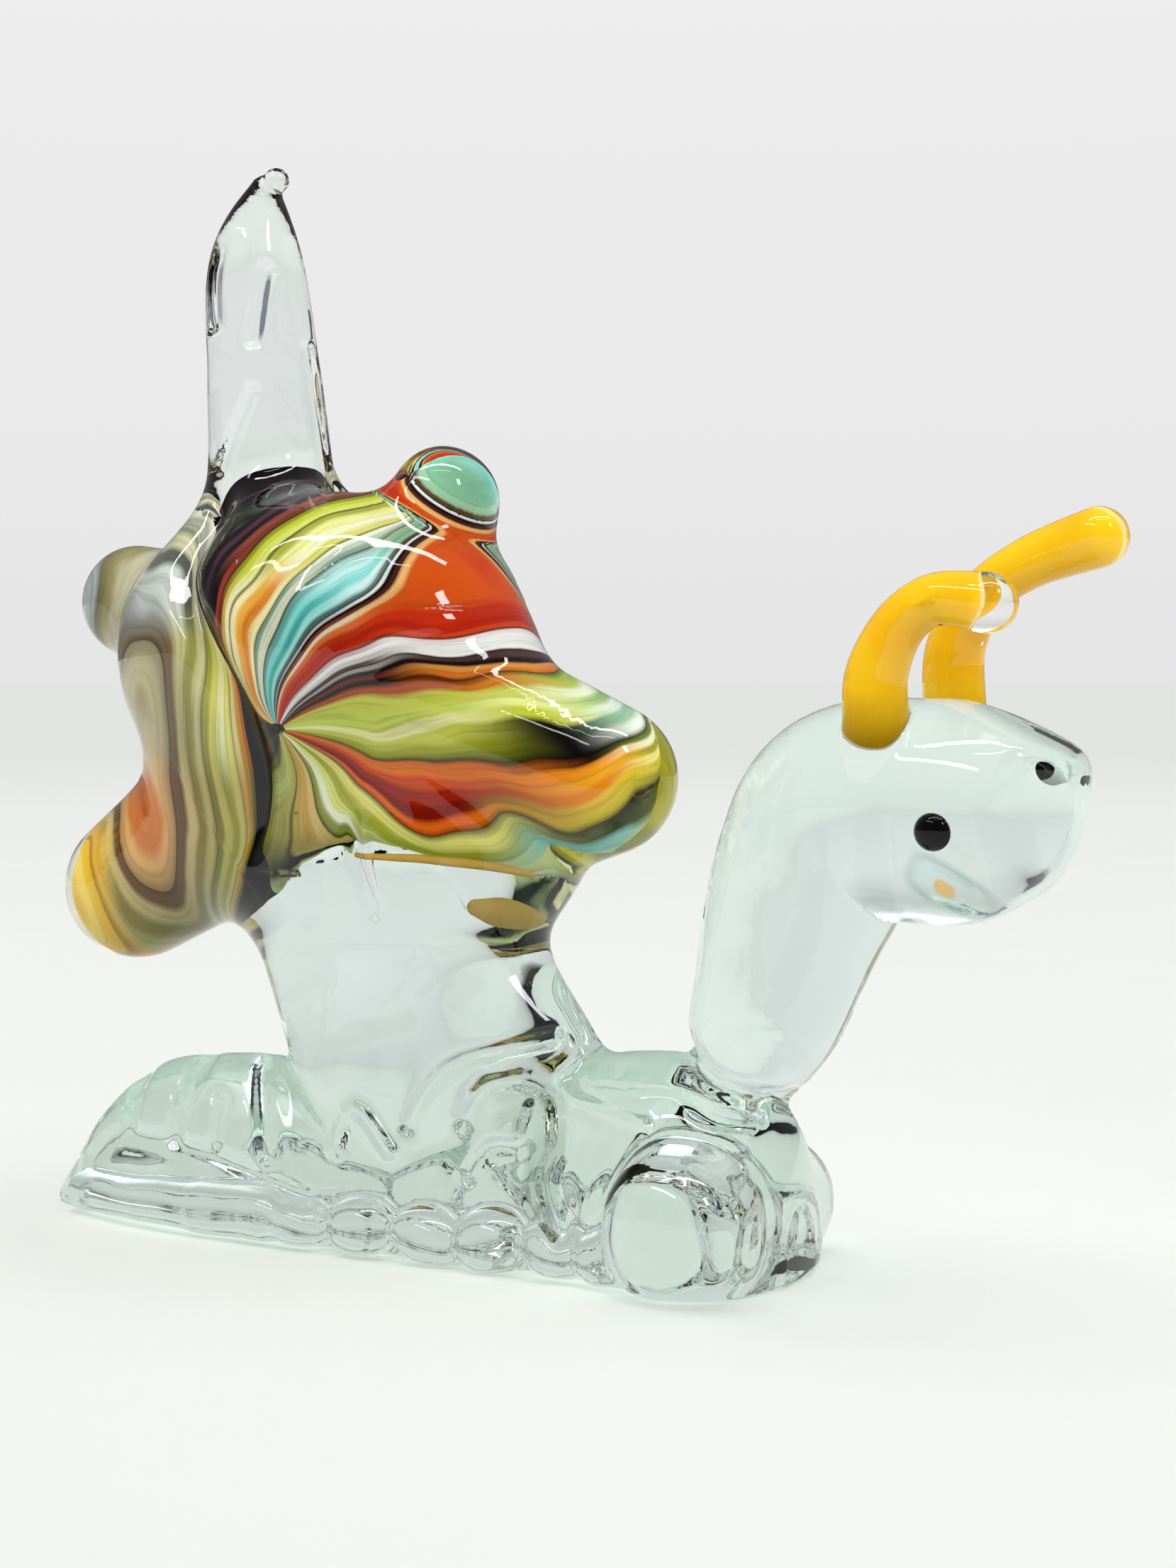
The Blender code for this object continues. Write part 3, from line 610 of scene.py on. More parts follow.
# The clear bits in the order they are put on: (CAD node, field, how softly it runs into what is there)
BITS = [
    ("shell_casing", casing_field, 1.0),
    *((name, Line(knob_stations(name), KNOB_STEPS).field, KNOBS[name][5]) for name in KNOBS),
    ("spire", Line(SPIRE).field, 5.0),
    ("shell_stem", stem_field, 8.0),
    ("foot", foot_field, 3.0),
    *((name, lobe_field(*LOBES[name]), 4.5) for name in LOBES),
    ("right_crimped_edge", crimp_field(-1), 1.0),
    ("left_crimped_edge", crimp_field(1), 1.0),
    ("head_and_neck", head_field, 1.5),
    *((side + "_tentacle_casing", Line(tentacle_stations(side)).field, 0.8) for side in TENTACLES),
    ("spire_bead", bead_field, 0.6),
]
BOXES = {name: np.array(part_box(name)) / MM for name, _, _ in BITS}
BOX_MARGIN = 5.0


def clear_field(points):
    """Distance to the whole clear body, and which bit owns each point (its place in BITS)."""
    total = np.full(len(points), FAR)
    nearest = np.full(len(points), FAR)
    owner = np.zeros(len(points), np.int8)
    for place, (name, field, blend) in enumerate(BITS):
        low, high = BOXES[name]
        margin = BOX_MARGIN + blend
        inside = np.all((points > low - margin) & (points < high + margin), axis=1)
        at = np.flatnonzero(inside)
        gap = field(points[at])
        total[at] = smooth_min(total[at], gap, blend)
        closer = gap < nearest[at]
        nearest[at[closer]] = gap[closer]
        owner[at[closer]] = place
    skin = np.flatnonzero(np.abs(total) < 2 * NEAR)
    close = points[skin]
    low = 1 - smooth_step(close[:, 2], *LOW_PARTS)
    total[skin] += crease_cut(close) + dents(close) + folds(close) + ripples(close)
    total[skin] += SWELL[0] * waves(close, *SWELL[1:]) + LOW_SWELL[0] * low * waves(close, *LOW_SWELL[1:])
    return smooth_max(total, -points[:, 2], FLOOR_ROUND), owner


def colour_field(points):
    """Distance to the colour mass inside the shell."""
    gap = ellipsoid(points, SHELL_CENTRE, COLOUR_HALF, SHELL_AXES)
    for name in KNOBS:
        gap = smooth_min(gap, chain(points, knob_colour_line(name)), KNOBS[name][5])
    gap = smooth_min(gap, ellipsoid(points, CAP_AT, CAP_HALF), COLOUR_BLEND)
    low = np.interp(points[:, 0], *zip(*RUN_LOW))
    run = smooth_max(stem_field(points) + RUN_SKIN, low - points[:, 2], RUN_ROUND)
    gap = smooth_min(gap, run, COLOUR_BLEND)
    return gap + crease_cut(points, CREASE_WIDTH * COLOUR_CREASE) + dents(points)


def hollow_field(points):
    """Distance to the room that the colours take up inside the clear glass."""
    gap = colour_field(points) - COLOUR_GAP
    for side in TENTACLES:
        line = core_line(side)
        line[:, 3] += COLOUR_GAP
        gap = np.minimum(gap, chain(points, line))
    return gap


def slopes(points, both_ways):
    """Distance to the clear body and its slope at each point."""
    here, _ = clear_field(points)
    found = np.empty_like(points)
    for axis in range(3):
        step = np.zeros(3)
        step[axis] = SLOPE_STEP
        back = clear_field(points - step)[0] if both_ways else here
        found[:, axis] = clear_field(points + step)[0] - back
    return here, found / (2 * SLOPE_STEP if both_ways else SLOPE_STEP)


# Skin of the clear body, split by bit


def grid_points(axes):
    return np.stack(np.meshgrid(*axes, indexing="ij"), -1).reshape(-1, 3)


def sample_grid():
    """Labels and distances on a grid: 0 outside, 1 in the colours' room, 2 and up for the bits."""
    low = np.array(CAD_BOX[0]) / MM - GRID_MARGIN
    high = np.array(CAD_BOX[1]) / MM + GRID_MARGIN
    blocks = np.ceil((high - low) / (CELL * COARSE)).astype(int)
    axes = [start + CELL * np.arange(n * COARSE + 1) for start, n in zip(low, blocks)]
    shape = [len(axis) for axis in axes]
    rough, _ = clear_field(grid_points([axis[::COARSE] for axis in axes]))
    close = np.min(cell_corners(rough.reshape(blocks + 1)), axis=0) < NEAR
    block = [np.minimum(np.arange(count) // COARSE, n - 1) for count, n in zip(shape, blocks)]
    wanted = np.flatnonzero(close[np.ix_(*block)])
    points = np.stack([axis[at] for axis, at in zip(axes, np.unravel_index(wanted, shape))], 1)
    gap = np.full(math.prod(shape), FAR)
    label = np.zeros(len(gap), np.int8)
    gap[wanted], owner = clear_field(points)
    inside = np.flatnonzero(gap[wanted] < 0)
    label[wanted[inside]] = owner[inside] + 2
    room = hollow_field(points[inside])
    label[wanted[inside[room < 0]]] = 1
    return low, label.reshape(shape), gap.reshape(shape)


CORNERS = [(x, y, z) for x in (0, 1) for y in (0, 1) for z in (0, 1)]


def cell_corners(grid):
    """The eight corner values of every cell."""
    nx, ny, nz = (n - 1 for n in grid.shape)
    return [grid[x:x + nx, y:y + ny, z:z + nz] for x, y, z in CORNERS]


def net_points(origin, label, gap):
    """One point for each cell that a boundary runs through."""
    corners = cell_corners(label)
    mixed = np.zeros(corners[0].shape, bool)
    for corner in corners[1:]:
        mixed |= corner != corners[0]
    cells = np.argwhere(mixed)
    number = np.full(mixed.shape, -1, np.int32)
    number[mixed] = np.arange(len(cells))
    labels = np.stack([corner[mixed] for corner in corners], 1)
    gaps = np.stack([corner[mixed] for corner in cell_corners(gap)], 1)
    offsets = np.array(CORNERS, float)
    total = np.zeros((len(cells), 3))
    count = np.zeros(len(cells))
    for a in range(len(CORNERS)):
        for b in range(a + 1, len(CORNERS)):
            if np.abs(offsets[a] - offsets[b]).sum() != 1:
                continue
            crossed = labels[:, a] != labels[:, b]
            open_edge = (labels[:, a] == 0) | (labels[:, b] == 0)
            fall = gaps[:, a] - gaps[:, b]
            share = np.where(open_edge, gaps[:, a] / np.where(fall == 0, 1, fall), 0.5)
            share = np.clip(share, 0.05, 0.95)[:, None]
            total += crossed[:, None] * (offsets[a] + share * (offsets[b] - offsets[a]))
            count += crossed
    outer = (labels == 0).any(1)
    points = origin + CELL * (cells + total / count[:, None])
    return points, number, outer


def net_faces(label, number):
    """Quads across every grid edge whose ends differ, as (corners, label behind, label in front)."""
    found = []
    for axis in range(3):
        u, v = (axis + 1) % 3, (axis + 2) % 3
        behind = np.moveaxis(label, (axis, u, v), (0, 1, 2))
        ids = np.moveaxis(number, (axis, u, v), (0, 1, 2))
        near, far = behind[:-1, 1:-1, 1:-1], behind[1:, 1:-1, 1:-1]
        at = np.argwhere(near != far)
        i, j, k = at.T
        quad = np.stack([ids[i, j, k], ids[i, j + 1, k], ids[i, j + 1, k + 1], ids[i, j, k + 1]], 1)
        found.append((quad, near[i, j, k], far[i, j, k]))
    return tuple(np.concatenate(parts) for parts in zip(*found))


def settle(points, outer, quads):
    """Puts outer points on the skin, evens out the seats, and gives each point's outward direction."""
    skin = points[outer]
    Line.fine = True
    for _ in range(SKIN_PASSES):
        here, slope = slopes(skin, False)
        move = here[:, None] * slope / np.maximum((slope**2).sum(1), 0.05)[:, None]
        skin -= np.clip(move, -CELL, CELL)
    points[outer] = skin
    _, slope = slopes(skin, True)
    normals = np.zeros_like(points)
    normals[outer] = slope / np.maximum(np.linalg.norm(slope, axis=1), 1e-9)[:, None]
    edges = np.vstack([quads[:, [0, 1]], quads[:, [1, 2]], quads[:, [2, 3]], quads[:, [3, 0]]])
    for _ in range(SEAT_PASSES):
        total = np.zeros_like(points)
        count = np.zeros(len(points))
        for a, b in ((0, 1), (1, 0)):
            np.add.at(total, edges[:, a], points[edges[:, b]])
            np.add.at(count, edges[:, a], 1)
        points[~outer] = (total / np.maximum(count, 1)[:, None])[~outer]
    return points, normals


def mesh_object(name, points, faces, materials=(), slots=None, normals=None):
    """A smooth-shaded object from points in millimetres."""
    mesh = bpy.data.meshes.new(name)
    mesh.from_pydata((points * MM).tolist(), [], [tuple(face) for face in faces])
    for material in materials:
        mesh.materials.append(material)
    if slots is not None:
        mesh.polygons.foreach_set("material_index", np.asarray(slots, np.int32))
    mesh.shade_smooth()
    if normals is not None:
        mesh.normals_split_custom_set_from_vertices(normals.tolist())
    made = bpy.data.objects.new(name, mesh)
    bpy.context.scene.collection.objects.link(made)
    return made


def dress(piece, slot, *nodes):
    """Puts a piece on the snail in the place of its CAD nodes."""
    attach(piece, "root")
    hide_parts(*nodes)


def make_clear_bits(glass, tinted_and_shaded, seat):
    """The clear body, as one closed piece for each bit. Faces between two bits get the seat's material."""
    origin, label, gap = sample_grid()
    points, number, outer = net_points(origin, label, gap)
    quads, behind, front = net_faces(label, number)
    points, normals = settle(points, outer, quads)
    for place, (name, _, _) in enumerate(BITS):
        mine = place + 2
        out, back = behind == mine, front == mine
        faces = np.vstack([quads[out], quads[back][:, ::-1]])
        other = np.concatenate([front[out], behind[back]])
        used, local = np.unique(faces, return_inverse=True)
        piece = mesh_object(
            "clear_" + name, points[used], local.reshape(-1, 4).tolist(),
            (tinted_and_shaded.get(name, glass), seat), other != 0, normals[used],
        )
        dress(piece, "clear_glass", name)


# Colour canes

ROUND_STEPS = 360
LATITUDE_STEPS = 150
LATITUDE_END = math.radians(88)
CANE_THICK = 1.0
CANE_SHARP = math.radians(50)
# Finding the skin on a ray from the shell's centre: first try, tries, share of a gap to go, limits of a step
TRY_FIRST = 60.0
TRIES = 30
TRY_SHARE = 0.85
TRY_LIMITS = (-0.5, 6.0)
EVEN_PASSES = 8
# The clear gather under the canes: the gap to them, and how much coarser it is along and round
GATHER_GAP = 0.3
GATHER_COARSE = (2, 3)
# Where in the twist the first cane begins, and where the round does
CANE_START = -5.0
ROUND_START = -90.0
# Half width of the black line in the crease: (z, width)
CREASE_BLACK = [(45.0, 0.8), (60.0, 1.5), (72.0, 1.0), (84.0, 0.3)]
ROLL_EDGE = 12.8

# The fan's canes: node, degrees of the round, colours across it from the pole to the rim, and the latitudes
# where the ones turn into the next
FAN = [
    ("cane_01_plum", 14, (
        [(10, 5, 8), (36, 16, 30), (8, 4, 6), (14, 8, 10), (130, 44, 30)],
        [(12, 6, 10), (60, 30, 44), (10, 6, 8), (120, 50, 40), (90, 40, 20)]), (30,)),
    ("cane_02_lime", 7, (
        [(96, 30, 24), (190, 150, 60), (248, 232, 160)],
        [(120, 120, 20), (178, 190, 40), (206, 214, 90)]), (40,)),
    ("cane_03_amber", 11, (
        [(250, 226, 150), (244, 146, 50), (226, 112, 36), (252, 226, 150)],
        [(150, 150, 50), (240, 236, 130), (250, 246, 180), (214, 200, 90)]), (38,)),
    ("cane_04_sage", 7, (
        [(110, 130, 110), (196, 216, 190), (216, 204, 160)],
        [(240, 240, 200), (170, 190, 170), (120, 140, 120)]), (38,)),
    ("cane_05_turquoise", 18, (
        [(80, 132, 124), (104, 200, 190), (56, 150, 142), (130, 210, 206), (60, 80, 76)],
        [(150, 200, 196), (176, 240, 240), (120, 214, 212), (208, 250, 250), (80, 100, 96)],
        [(150, 160, 110), (110, 160, 126), (96, 150, 116), (120, 166, 130), (70, 50, 30)]), (42, 22)),
    ("cane_06_charcoal", 7, (
        [(160, 166, 166), (16, 10, 10), (110, 40, 26)],
        [(220, 226, 226), (12, 8, 8), (60, 20, 16)]), (45,)),
    ("cane_07_rust", 20, (
        [(246, 206, 160), (204, 84, 36), (176, 40, 14), (150, 26, 8), (170, 34, 12)],
        [(236, 160, 90), (200, 64, 14), (176, 34, 10), (158, 26, 8), (190, 50, 20)]), (45,)),
    ("cane_08_pearl", 13, (
        [(190, 150, 150), (250, 254, 252), (200, 190, 190), (60, 44, 44)],
        [(244, 224, 224), (255, 255, 255), (236, 246, 244), (250, 252, 250)]), (52,)),
    ("cane_09_umber", 13, (
        [(140, 134, 130), (20, 12, 12), (86, 26, 24), (14, 8, 6)],
        [(60, 40, 40), (20, 12, 14), (206, 120, 50), (200, 90, 26)]), (50,)),
    ("cane_10_lime", 40, (
        [(150, 60, 20), (184, 190, 60), (190, 208, 70), (246, 248, 150), (188, 196, 66), (140, 146, 30)],
        [(190, 100, 30), (186, 192, 70), (220, 226, 120), (170, 176, 40), (10, 4, 4), (8, 3, 3)],
        [(150, 170, 60), (226, 236, 200), (120, 160, 90), (214, 236, 214), (130, 176, 140), (236, 244, 216)],
    ), (40, 24)),
    ("cane_11_vermilion", 21, (
        [(210, 90, 20), (228, 92, 16), (200, 58, 10), (140, 24, 4), (104, 10, 2), (224, 80, 14)],
        [(20, 6, 4), (236, 120, 20), (240, 140, 26), (230, 110, 16), (222, 168, 40), (200, 170, 30)],
        [(90, 100, 40), (214, 226, 170), (140, 130, 30), (226, 220, 110), (180, 160, 30), (120, 110, 20)],
    ), (38, 24)),
    ("cane_12_olive", 32, (
        [(232, 226, 100), (150, 154, 40), (226, 230, 110), (250, 250, 196), (120, 128, 40)],
        [(40, 44, 20), (130, 206, 196), (104, 196, 186), (206, 216, 120), (240, 240, 190)],
        [(90, 86, 10), (170, 160, 26), (196, 184, 40), (130, 126, 20), (60, 60, 14)]), (34, 20)),
    ("cane_13_gold", 17, (
        [(214, 168, 90), (190, 140, 60), (166, 136, 56)],
        [(240, 238, 180), (180, 180, 80), (226, 220, 150)]), (36,)),
    ("cane_14_moss", 26, (
        [(160, 150, 66), (176, 186, 90), (150, 156, 70), (70, 74, 30)],
        [(14, 12, 8), (200, 206, 130), (12, 10, 8), (60, 60, 30)]), (45,)),
    ("cane_15_black", 70, (
        [(40, 30, 22), (4, 3, 4), (4, 3, 4)],
        [(30, 24, 20), (4, 3, 4), (4, 3, 4)]), (20,)),
]
LATITUDE_RUN = 8.0
# The rear roll's rings, and its canes: node and colours from the notch outwards, in its upper knob, high in
# the roll, low in it and in its lower knob
ROLL_RINGS = (-9.0, 4.2, 8.4, 11.4, ROLL_EDGE)
ROLL = [
    ("cane_19_chestnut", (
        [(50, 60, 74), (200, 206, 210), (70, 74, 76), (176, 186, 196),
         (60, 60, 56), (190, 180, 140), (120, 110, 70)],
        [(150, 120, 70), (190, 160, 110), (120, 96, 56), (176, 150, 100),
         (160, 140, 90), (110, 84, 60), (186, 170, 120)],
        [(120, 36, 10), (110, 30, 8), (120, 36, 10), (110, 30, 8),
         (130, 40, 12), (196, 96, 36), (220, 150, 84)],
        [(240, 160, 40), (246, 176, 60), (236, 150, 34)])),
    ("cane_18_khaki", (
        [(130, 136, 136), (186, 190, 180), (70, 72, 66), (190, 184, 140)],
        [(96, 76, 50), (176, 166, 110), (130, 124, 60), (196, 186, 120)],
        [(86, 56, 26), (190, 160, 100), (120, 100, 44), (170, 150, 84)],
        [(240, 166, 46), (250, 184, 70), (230, 150, 46)])),
    ("cane_17_cream", (
        [(140, 140, 120), (196, 196, 170), (90, 86, 60)],
        [(150, 146, 60), (226, 210, 90), (255, 248, 160), (255, 240, 110)],
        [(110, 100, 34), (170, 158, 76), (140, 130, 50), (186, 170, 90)],
        [(240, 160, 34), (246, 186, 76), (220, 150, 50)])),
    ("cane_16_orange", (
        [(90, 80, 60), (60, 56, 50), (30, 28, 28)],
        [(255, 226, 140), (246, 150, 50), (206, 96, 30)],
        [(200, 140, 60), (160, 120, 44), (90, 76, 34)],
        [(236, 170, 60), (200, 150, 60), (140, 116, 50)])),
]
ROLL_TOP = (70.0, 75.0)
ROLL_LOW = (53.0, 60.0)
ROLL_FRONT = (-34.0, -30.0)
# How much the canes' edges wander: degrees of twist or width of a ring, size of the waves, seed
TWIST_WAVES = (1.6, 8.0, 7)
RING_WAVES = (0.5, 11.0, 11)
# More than the width of any band
WELL_OUT = 40.0
# Where the roll turns to amber in its lower knob: from and to (behind, height)
AMBER_BEHIND = (39.0, 45.0)
AMBER_HEIGHT = (45.0, 52.0)
# The rust run on the upper front knob's foot, along and up, and the bands up that knob as
# (share of the way to its bulb, place in the twist)
RUST_AT = np.array((4.0, 79.6))
RUST_HALF = (5.4, 8.4)
RUST_EDGE = (0.45, 1.5)
RUST_LATITUDES = (-20.0, 0.0)
RUST_TWIST = 66.0
KNOB_EDGE = (0.6, 1.6)
KNOB_BANDS = [(0.90, 68.0), (1.05, 57.0), (1.15, 49.0), (1.30, 43.0), (1.50, 42.0), (1.75, 35.0)]
# The rings in the upper rear knob: how near it, how far behind and how much further in they are
REAR_EDGE = (0.6, 2.5)
REAR_BEHIND = (33.0, 37.0)
REAR_IN = 4.6
# The white thread that runs out of the pearl cane over the next ones, and half its width
THREAD = [(2.5, -11.1, 69.5), (7.5, -5.4, 67.2), (10.6, -4.8, 64.0), (14.3, -4.5, 61.5), (18.2, -4.0, 60.0)]
THREAD_HALF = 0.45
THREAD_COLOUR = 0.4
# Painted reflections of the shell's colours in the stem, drawn as lines of the gold cane's colour, as the
# photo sees them: (across, up, radius) along each
REFLECTION_CANE = "cane_13_gold"
REFLECTION_LINES = [
    [(-10.5, 46.2, 0.3), (-2.0, 45.9, 0.5), (6.0, 45.0, 0.5), (9.5, 44.2, 0.3)],
    [(3.2, 40.7, 1.1), (5.0, 40.3, 1.7), (7.0, 39.8, 1.8), (8.6, 39.3, 1.5), (9.8, 39.0, 0.9)],
]
REFLECTION_DEPTH = 0.6
REFLECTION_SIDES = 12
REFLECTION_DOME = 4
REFLECTION_COLOUR = (0.5, 0.0, 0.0)
# How deep under the skin each painted reflection lies is found by stepping in from the photo's side: nearest,
# furthest, step
REFLECTION_STEPS = (45.0, -20.0, -0.1)
# How dark the seams between canes are in the fan and in the roll, and where across it the black cane is black
FAN_SEAM = 0.15
ROLL_SEAM = 0.45
BLACK_AT = 0.8
# How the canes bend on their way to the rim: places in the twist where a bend begins, is full, ends and is
# over; the latitudes it runs between, the one where it is 0, and degrees of twist for a degree of latitude
BENDS = [
    ((95.0, 125.0, 185.0, 215.0), (0.0, 50.0), 50.0, 0.6),
    ((110.0, 142.0, 180.0, 240.0), (25.0, 64.0), 51.0, 1.1),
    ((12.0, 34.0, 52.0, 68.0), (0.0, 1.0), -5.0, 1.0),
]


class Skin:
    """The colour mass's skin on a grid of latitudes and angles round the shell's poles."""

    def __init__(self):
        latitude = np.linspace(-LATITUDE_END, LATITUDE_END, LATITUDE_STEPS + 1)
        angle = np.arange(ROUND_STEPS) * 2 * math.pi / ROUND_STEPS
        lat, ang = (part.ravel() for part in np.meshgrid(latitude, angle, indexing="ij"))
        way = np.stack([np.cos(lat) * np.sin(ang), -np.sin(lat), np.cos(lat) * np.cos(ang)], 1)
        way = (way * COLOUR_HALF) @ SHELL_AXES.T
        self.way = way / np.linalg.norm(way, axis=1)[:, None]
        self.reach = np.full(len(way), TRY_FIRST)
        for _ in range(TRIES):
            gap = colour_field(SHELL_CENTRE + self.way * self.reach[:, None])
            self.reach -= np.clip(TRY_SHARE * gap, *TRY_LIMITS)
        self.even_out()
        self.points = SHELL_CENTRE + self.way * self.reach[:, None]
        self.latitude = np.degrees(lat)
        self.twist = (np.degrees(ang) + TWIST * lat - ROUND_START) % 360.0 + ROUND_START
        self.triangles = self.grid_triangles()
        self.paint_places()

    def even_out(self):
        """Evens out the skin, which is ragged where the rays only graze it."""
        grid = self.reach.reshape(LATITUDE_STEPS + 1, ROUND_STEPS)
        for _ in range(EVEN_PASSES):
            tall = np.pad(grid, ((1, 1), (0, 0)), "edge")
            beside = np.roll(grid, 1, 1) + np.roll(grid, -1, 1) + tall[2:] + tall[:-2]
            grid = 0.5 * grid + 0.125 * beside
        self.reach = grid.ravel()

    def grid_triangles(self):
        row, step = np.meshgrid(np.arange(LATITUDE_STEPS), np.arange(ROUND_STEPS), indexing="ij")
        a = row * ROUND_STEPS + step
        b = row * ROUND_STEPS + (step + 1) % ROUND_STEPS
        c, d = a + ROUND_STEPS, b + ROUND_STEPS
        halves = np.stack([np.stack([a, c, d], -1), np.stack([a, d, b], -1)], -2)
        return halves.reshape(-1, 3)

    def paint_places(self):
        """Where each point lies in the twist, in the roll's rings and beside the crease."""
        points = self.points
        x, _, z = points.T
        self.side = crease_side(points)
        self.black = np.interp(z, *zip(*CREASE_BLACK))
        for (start, full, end, over), (low, high), still, share in BENDS:
            bent = smooth_step(self.twist, start, full) * (1 - smooth_step(self.twist, end, over))
            self.twist += bent * share * (still - np.clip(np.abs(self.latitude), low, high))
        self.twist = wrapped(self.twist + TWIST_WAVES[0] * waves(points, *TWIST_WAVES[1:]))
        cap = 1 - smooth_step(np.linalg.norm((points - CAP_AT) / CAP_SPREAD, axis=1), *CAP_EDGE)
        self.side += WELL_OUT * cap
        self.bend_twist(cap, CAP_TWIST)
        self.paint_front_knob()
        self.paint_roll()
        self.amber = smooth_step(-x, *AMBER_BEHIND) * (1 - smooth_step(z, *AMBER_HEIGHT))

    def paint_front_knob(self):
        """Bends the twist for the rust run and for the bands of the upper front knob."""
        points = self.points
        rust = 1 - smooth_step(np.hypot(*((points[:, [0, 2]] - RUST_AT) / RUST_HALF).T), *RUST_EDGE)
        self.bend_twist(rust * smooth_step(self.latitude, *RUST_LATITUDES), RUST_TWIST)
        root, _, bulb = knob_stations("upper_front_knob")[:, :3]
        way = (bulb - root) / ((bulb - root) @ (bulb - root))
        band = np.interp((points - root) @ way, *zip(*KNOB_BANDS))
        gap = chain(points, knob_colour_line("upper_front_knob"))
        self.bend_twist(1 - smooth_step(gap, *KNOB_EDGE), band)

    def paint_roll(self):
        """Works out which of the rear roll's rings each point is in."""
        points = self.points
        x, y, z = points.T
        seen = x * math.cos(VIEW) - np.abs(y) * math.sin(VIEW)
        stretch = np.where(z < ROLL_AT[1], *ROLL_STRETCH)
        off = np.abs(np.stack([seen - ROLL_AT[0], (z - ROLL_AT[1]) / stretch]))
        wander = RING_WAVES[0] * waves(points, *RING_WAVES[1:])
        self.ring = (off**ROLL_POWER).sum(0) ** (1 / ROLL_POWER) + wander
        gap = chain(points, knob_colour_line("upper_rear_knob"))
        self.ring -= (1 - smooth_step(gap, *REAR_EDGE)) * smooth_step(-x, *REAR_BEHIND) * REAR_IN
        self.ring = np.minimum(self.ring, ROLL_EDGE + WELL_OUT * smooth_step(x, *ROLL_FRONT))

    def thread(self):
        """How far inside the white thread each point is."""
        line = curve(THREAD, 6)
        return THREAD_HALF - chain(self.points, np.column_stack([line, np.zeros(len(line))]))

    def bend_twist(self, share, target):
        """Draws the twist angle towards a target."""
        self.twist = target + wrapped(self.twist - target) * (1 - share)

    def patch(self, values, extra):
        return Patch(self.points, self.triangles, values, extra)


def wrapped(degrees):
    return (degrees + 180.0) % 360.0 - 180.0


class Patch:
    """The part of the skin where every given value is above 0, with extra values carried along."""

    def __init__(self, points, triangles, values, extra):
        self.table = np.column_stack([points, *values, *extra])
        self.first_extra = 3 + len(values)
        self.new = []
        sure = np.min([v[triangles].min(1) for v in values], axis=0) >= 0
        never = np.min([v[triangles].max(1) for v in values], axis=0) < 0
        edge = triangles[~sure & ~never].tolist()
        for place in range(3, self.first_extra):
            edge = self.clip(edge, place)
        self.polygons = triangles[sure].tolist() + edge

    def row(self, at):
        """Place, values and extra values of a point, given or new."""
        count = len(self.table)
        return self.table[at] if at < count else self.new[at - count]

    def clip(self, polygons, place):
        """Cuts the polygons off where the value in this column falls below 0."""
        made = {}
        found = []
        for polygon in polygons:
            kept = []
            for here, after in zip(polygon, polygon[1:] + polygon[:1]):
                a, b = self.row(here)[place], self.row(after)[place]
                if a >= 0:
                    kept.append(here)
                if (a >= 0) != (b >= 0):
                    key = (min(here, after), max(here, after))
                    if key not in made:
                        made[key] = self.between(here, after, a / (a - b), place)
                    kept.append(made[key])
            if len(kept) > 2:
                found.append(kept)
        return found

    def between(self, here, after, share, place):
        """Adds the point where the value in this column is 0."""
        row = self.row(here) + share * (self.row(after) - self.row(here))
        row[place] = 0.0
        self.new.append(row)
        return len(self.table) + len(self.new) - 1


def reflection_tube(stations):
    """A painted reflection: a line of colour just under the clear skin, as points and faces."""
    steps = np.arange(*REFLECTION_STEPS)
    middles = []
    for across, up, radius in curve(stations, 6):
        ray = across * VIEW_ACROSS + steps[:, None] * VIEW_NEAR + (0.0, 0.0, up)
        inside = clear_field(ray)[0] < -REFLECTION_DEPTH - radius
        if inside.any():
            middles.append((*ray[np.argmax(inside)], radius))
    return ring_tube(np.array(middles), REFLECTION_SIDES, REFLECTION_DOME)


def thick_patches(name, patches, material, tubes=()):
    """A closed cane from patches of skin: the skin, a lower one inside it and walls between."""
    rows, top = [], []
    for patch in patches:
        used = sorted({at for polygon in patch.polygons for at in polygon})
        local = {at: i + len(rows) for i, at in enumerate(used)}
        top += [[local[at] for at in polygon] for polygon in patch.polygons]
        rows += [np.delete(patch.row(at), range(3, patch.first_extra)) for at in used]
    rows = np.array(rows)
    outer, extra = rows[:, :3], rows[:, 3:]
    off = outer - SHELL_CENTRE
    inner = outer - CANE_THICK * off / np.linalg.norm(off, axis=1)[:, None]
    count = len(rows)
    edges = {(a, b) for polygon in top for a, b in zip(polygon, polygon[1:] + polygon[:1])}
    faces = top + [[at + count for at in reversed(polygon)] for polygon in top]
    faces += [(b, a, a + count, b + count) for a, b in sorted(edges) if (b, a) not in edges]
    points, places = np.vstack([outer, inner]), np.vstack([extra, extra])
    for tube, sides in tubes:
        faces += [tuple(at + len(points) for at in side) for side in sides]
        points = np.vstack([points, tube])
        places = np.vstack([places, np.tile(REFLECTION_COLOUR, (len(tube), 1))])
    piece = mesh_object(name, points, faces, (material,))
    piece.data.set_sharp_from_angle(angle=CANE_SHARP)
    where = piece.data.attributes.new("cane", "FLOAT_VECTOR", "POINT")
    where.data.foreach_set("vector", places.ravel().astype(np.float32))
    return piece


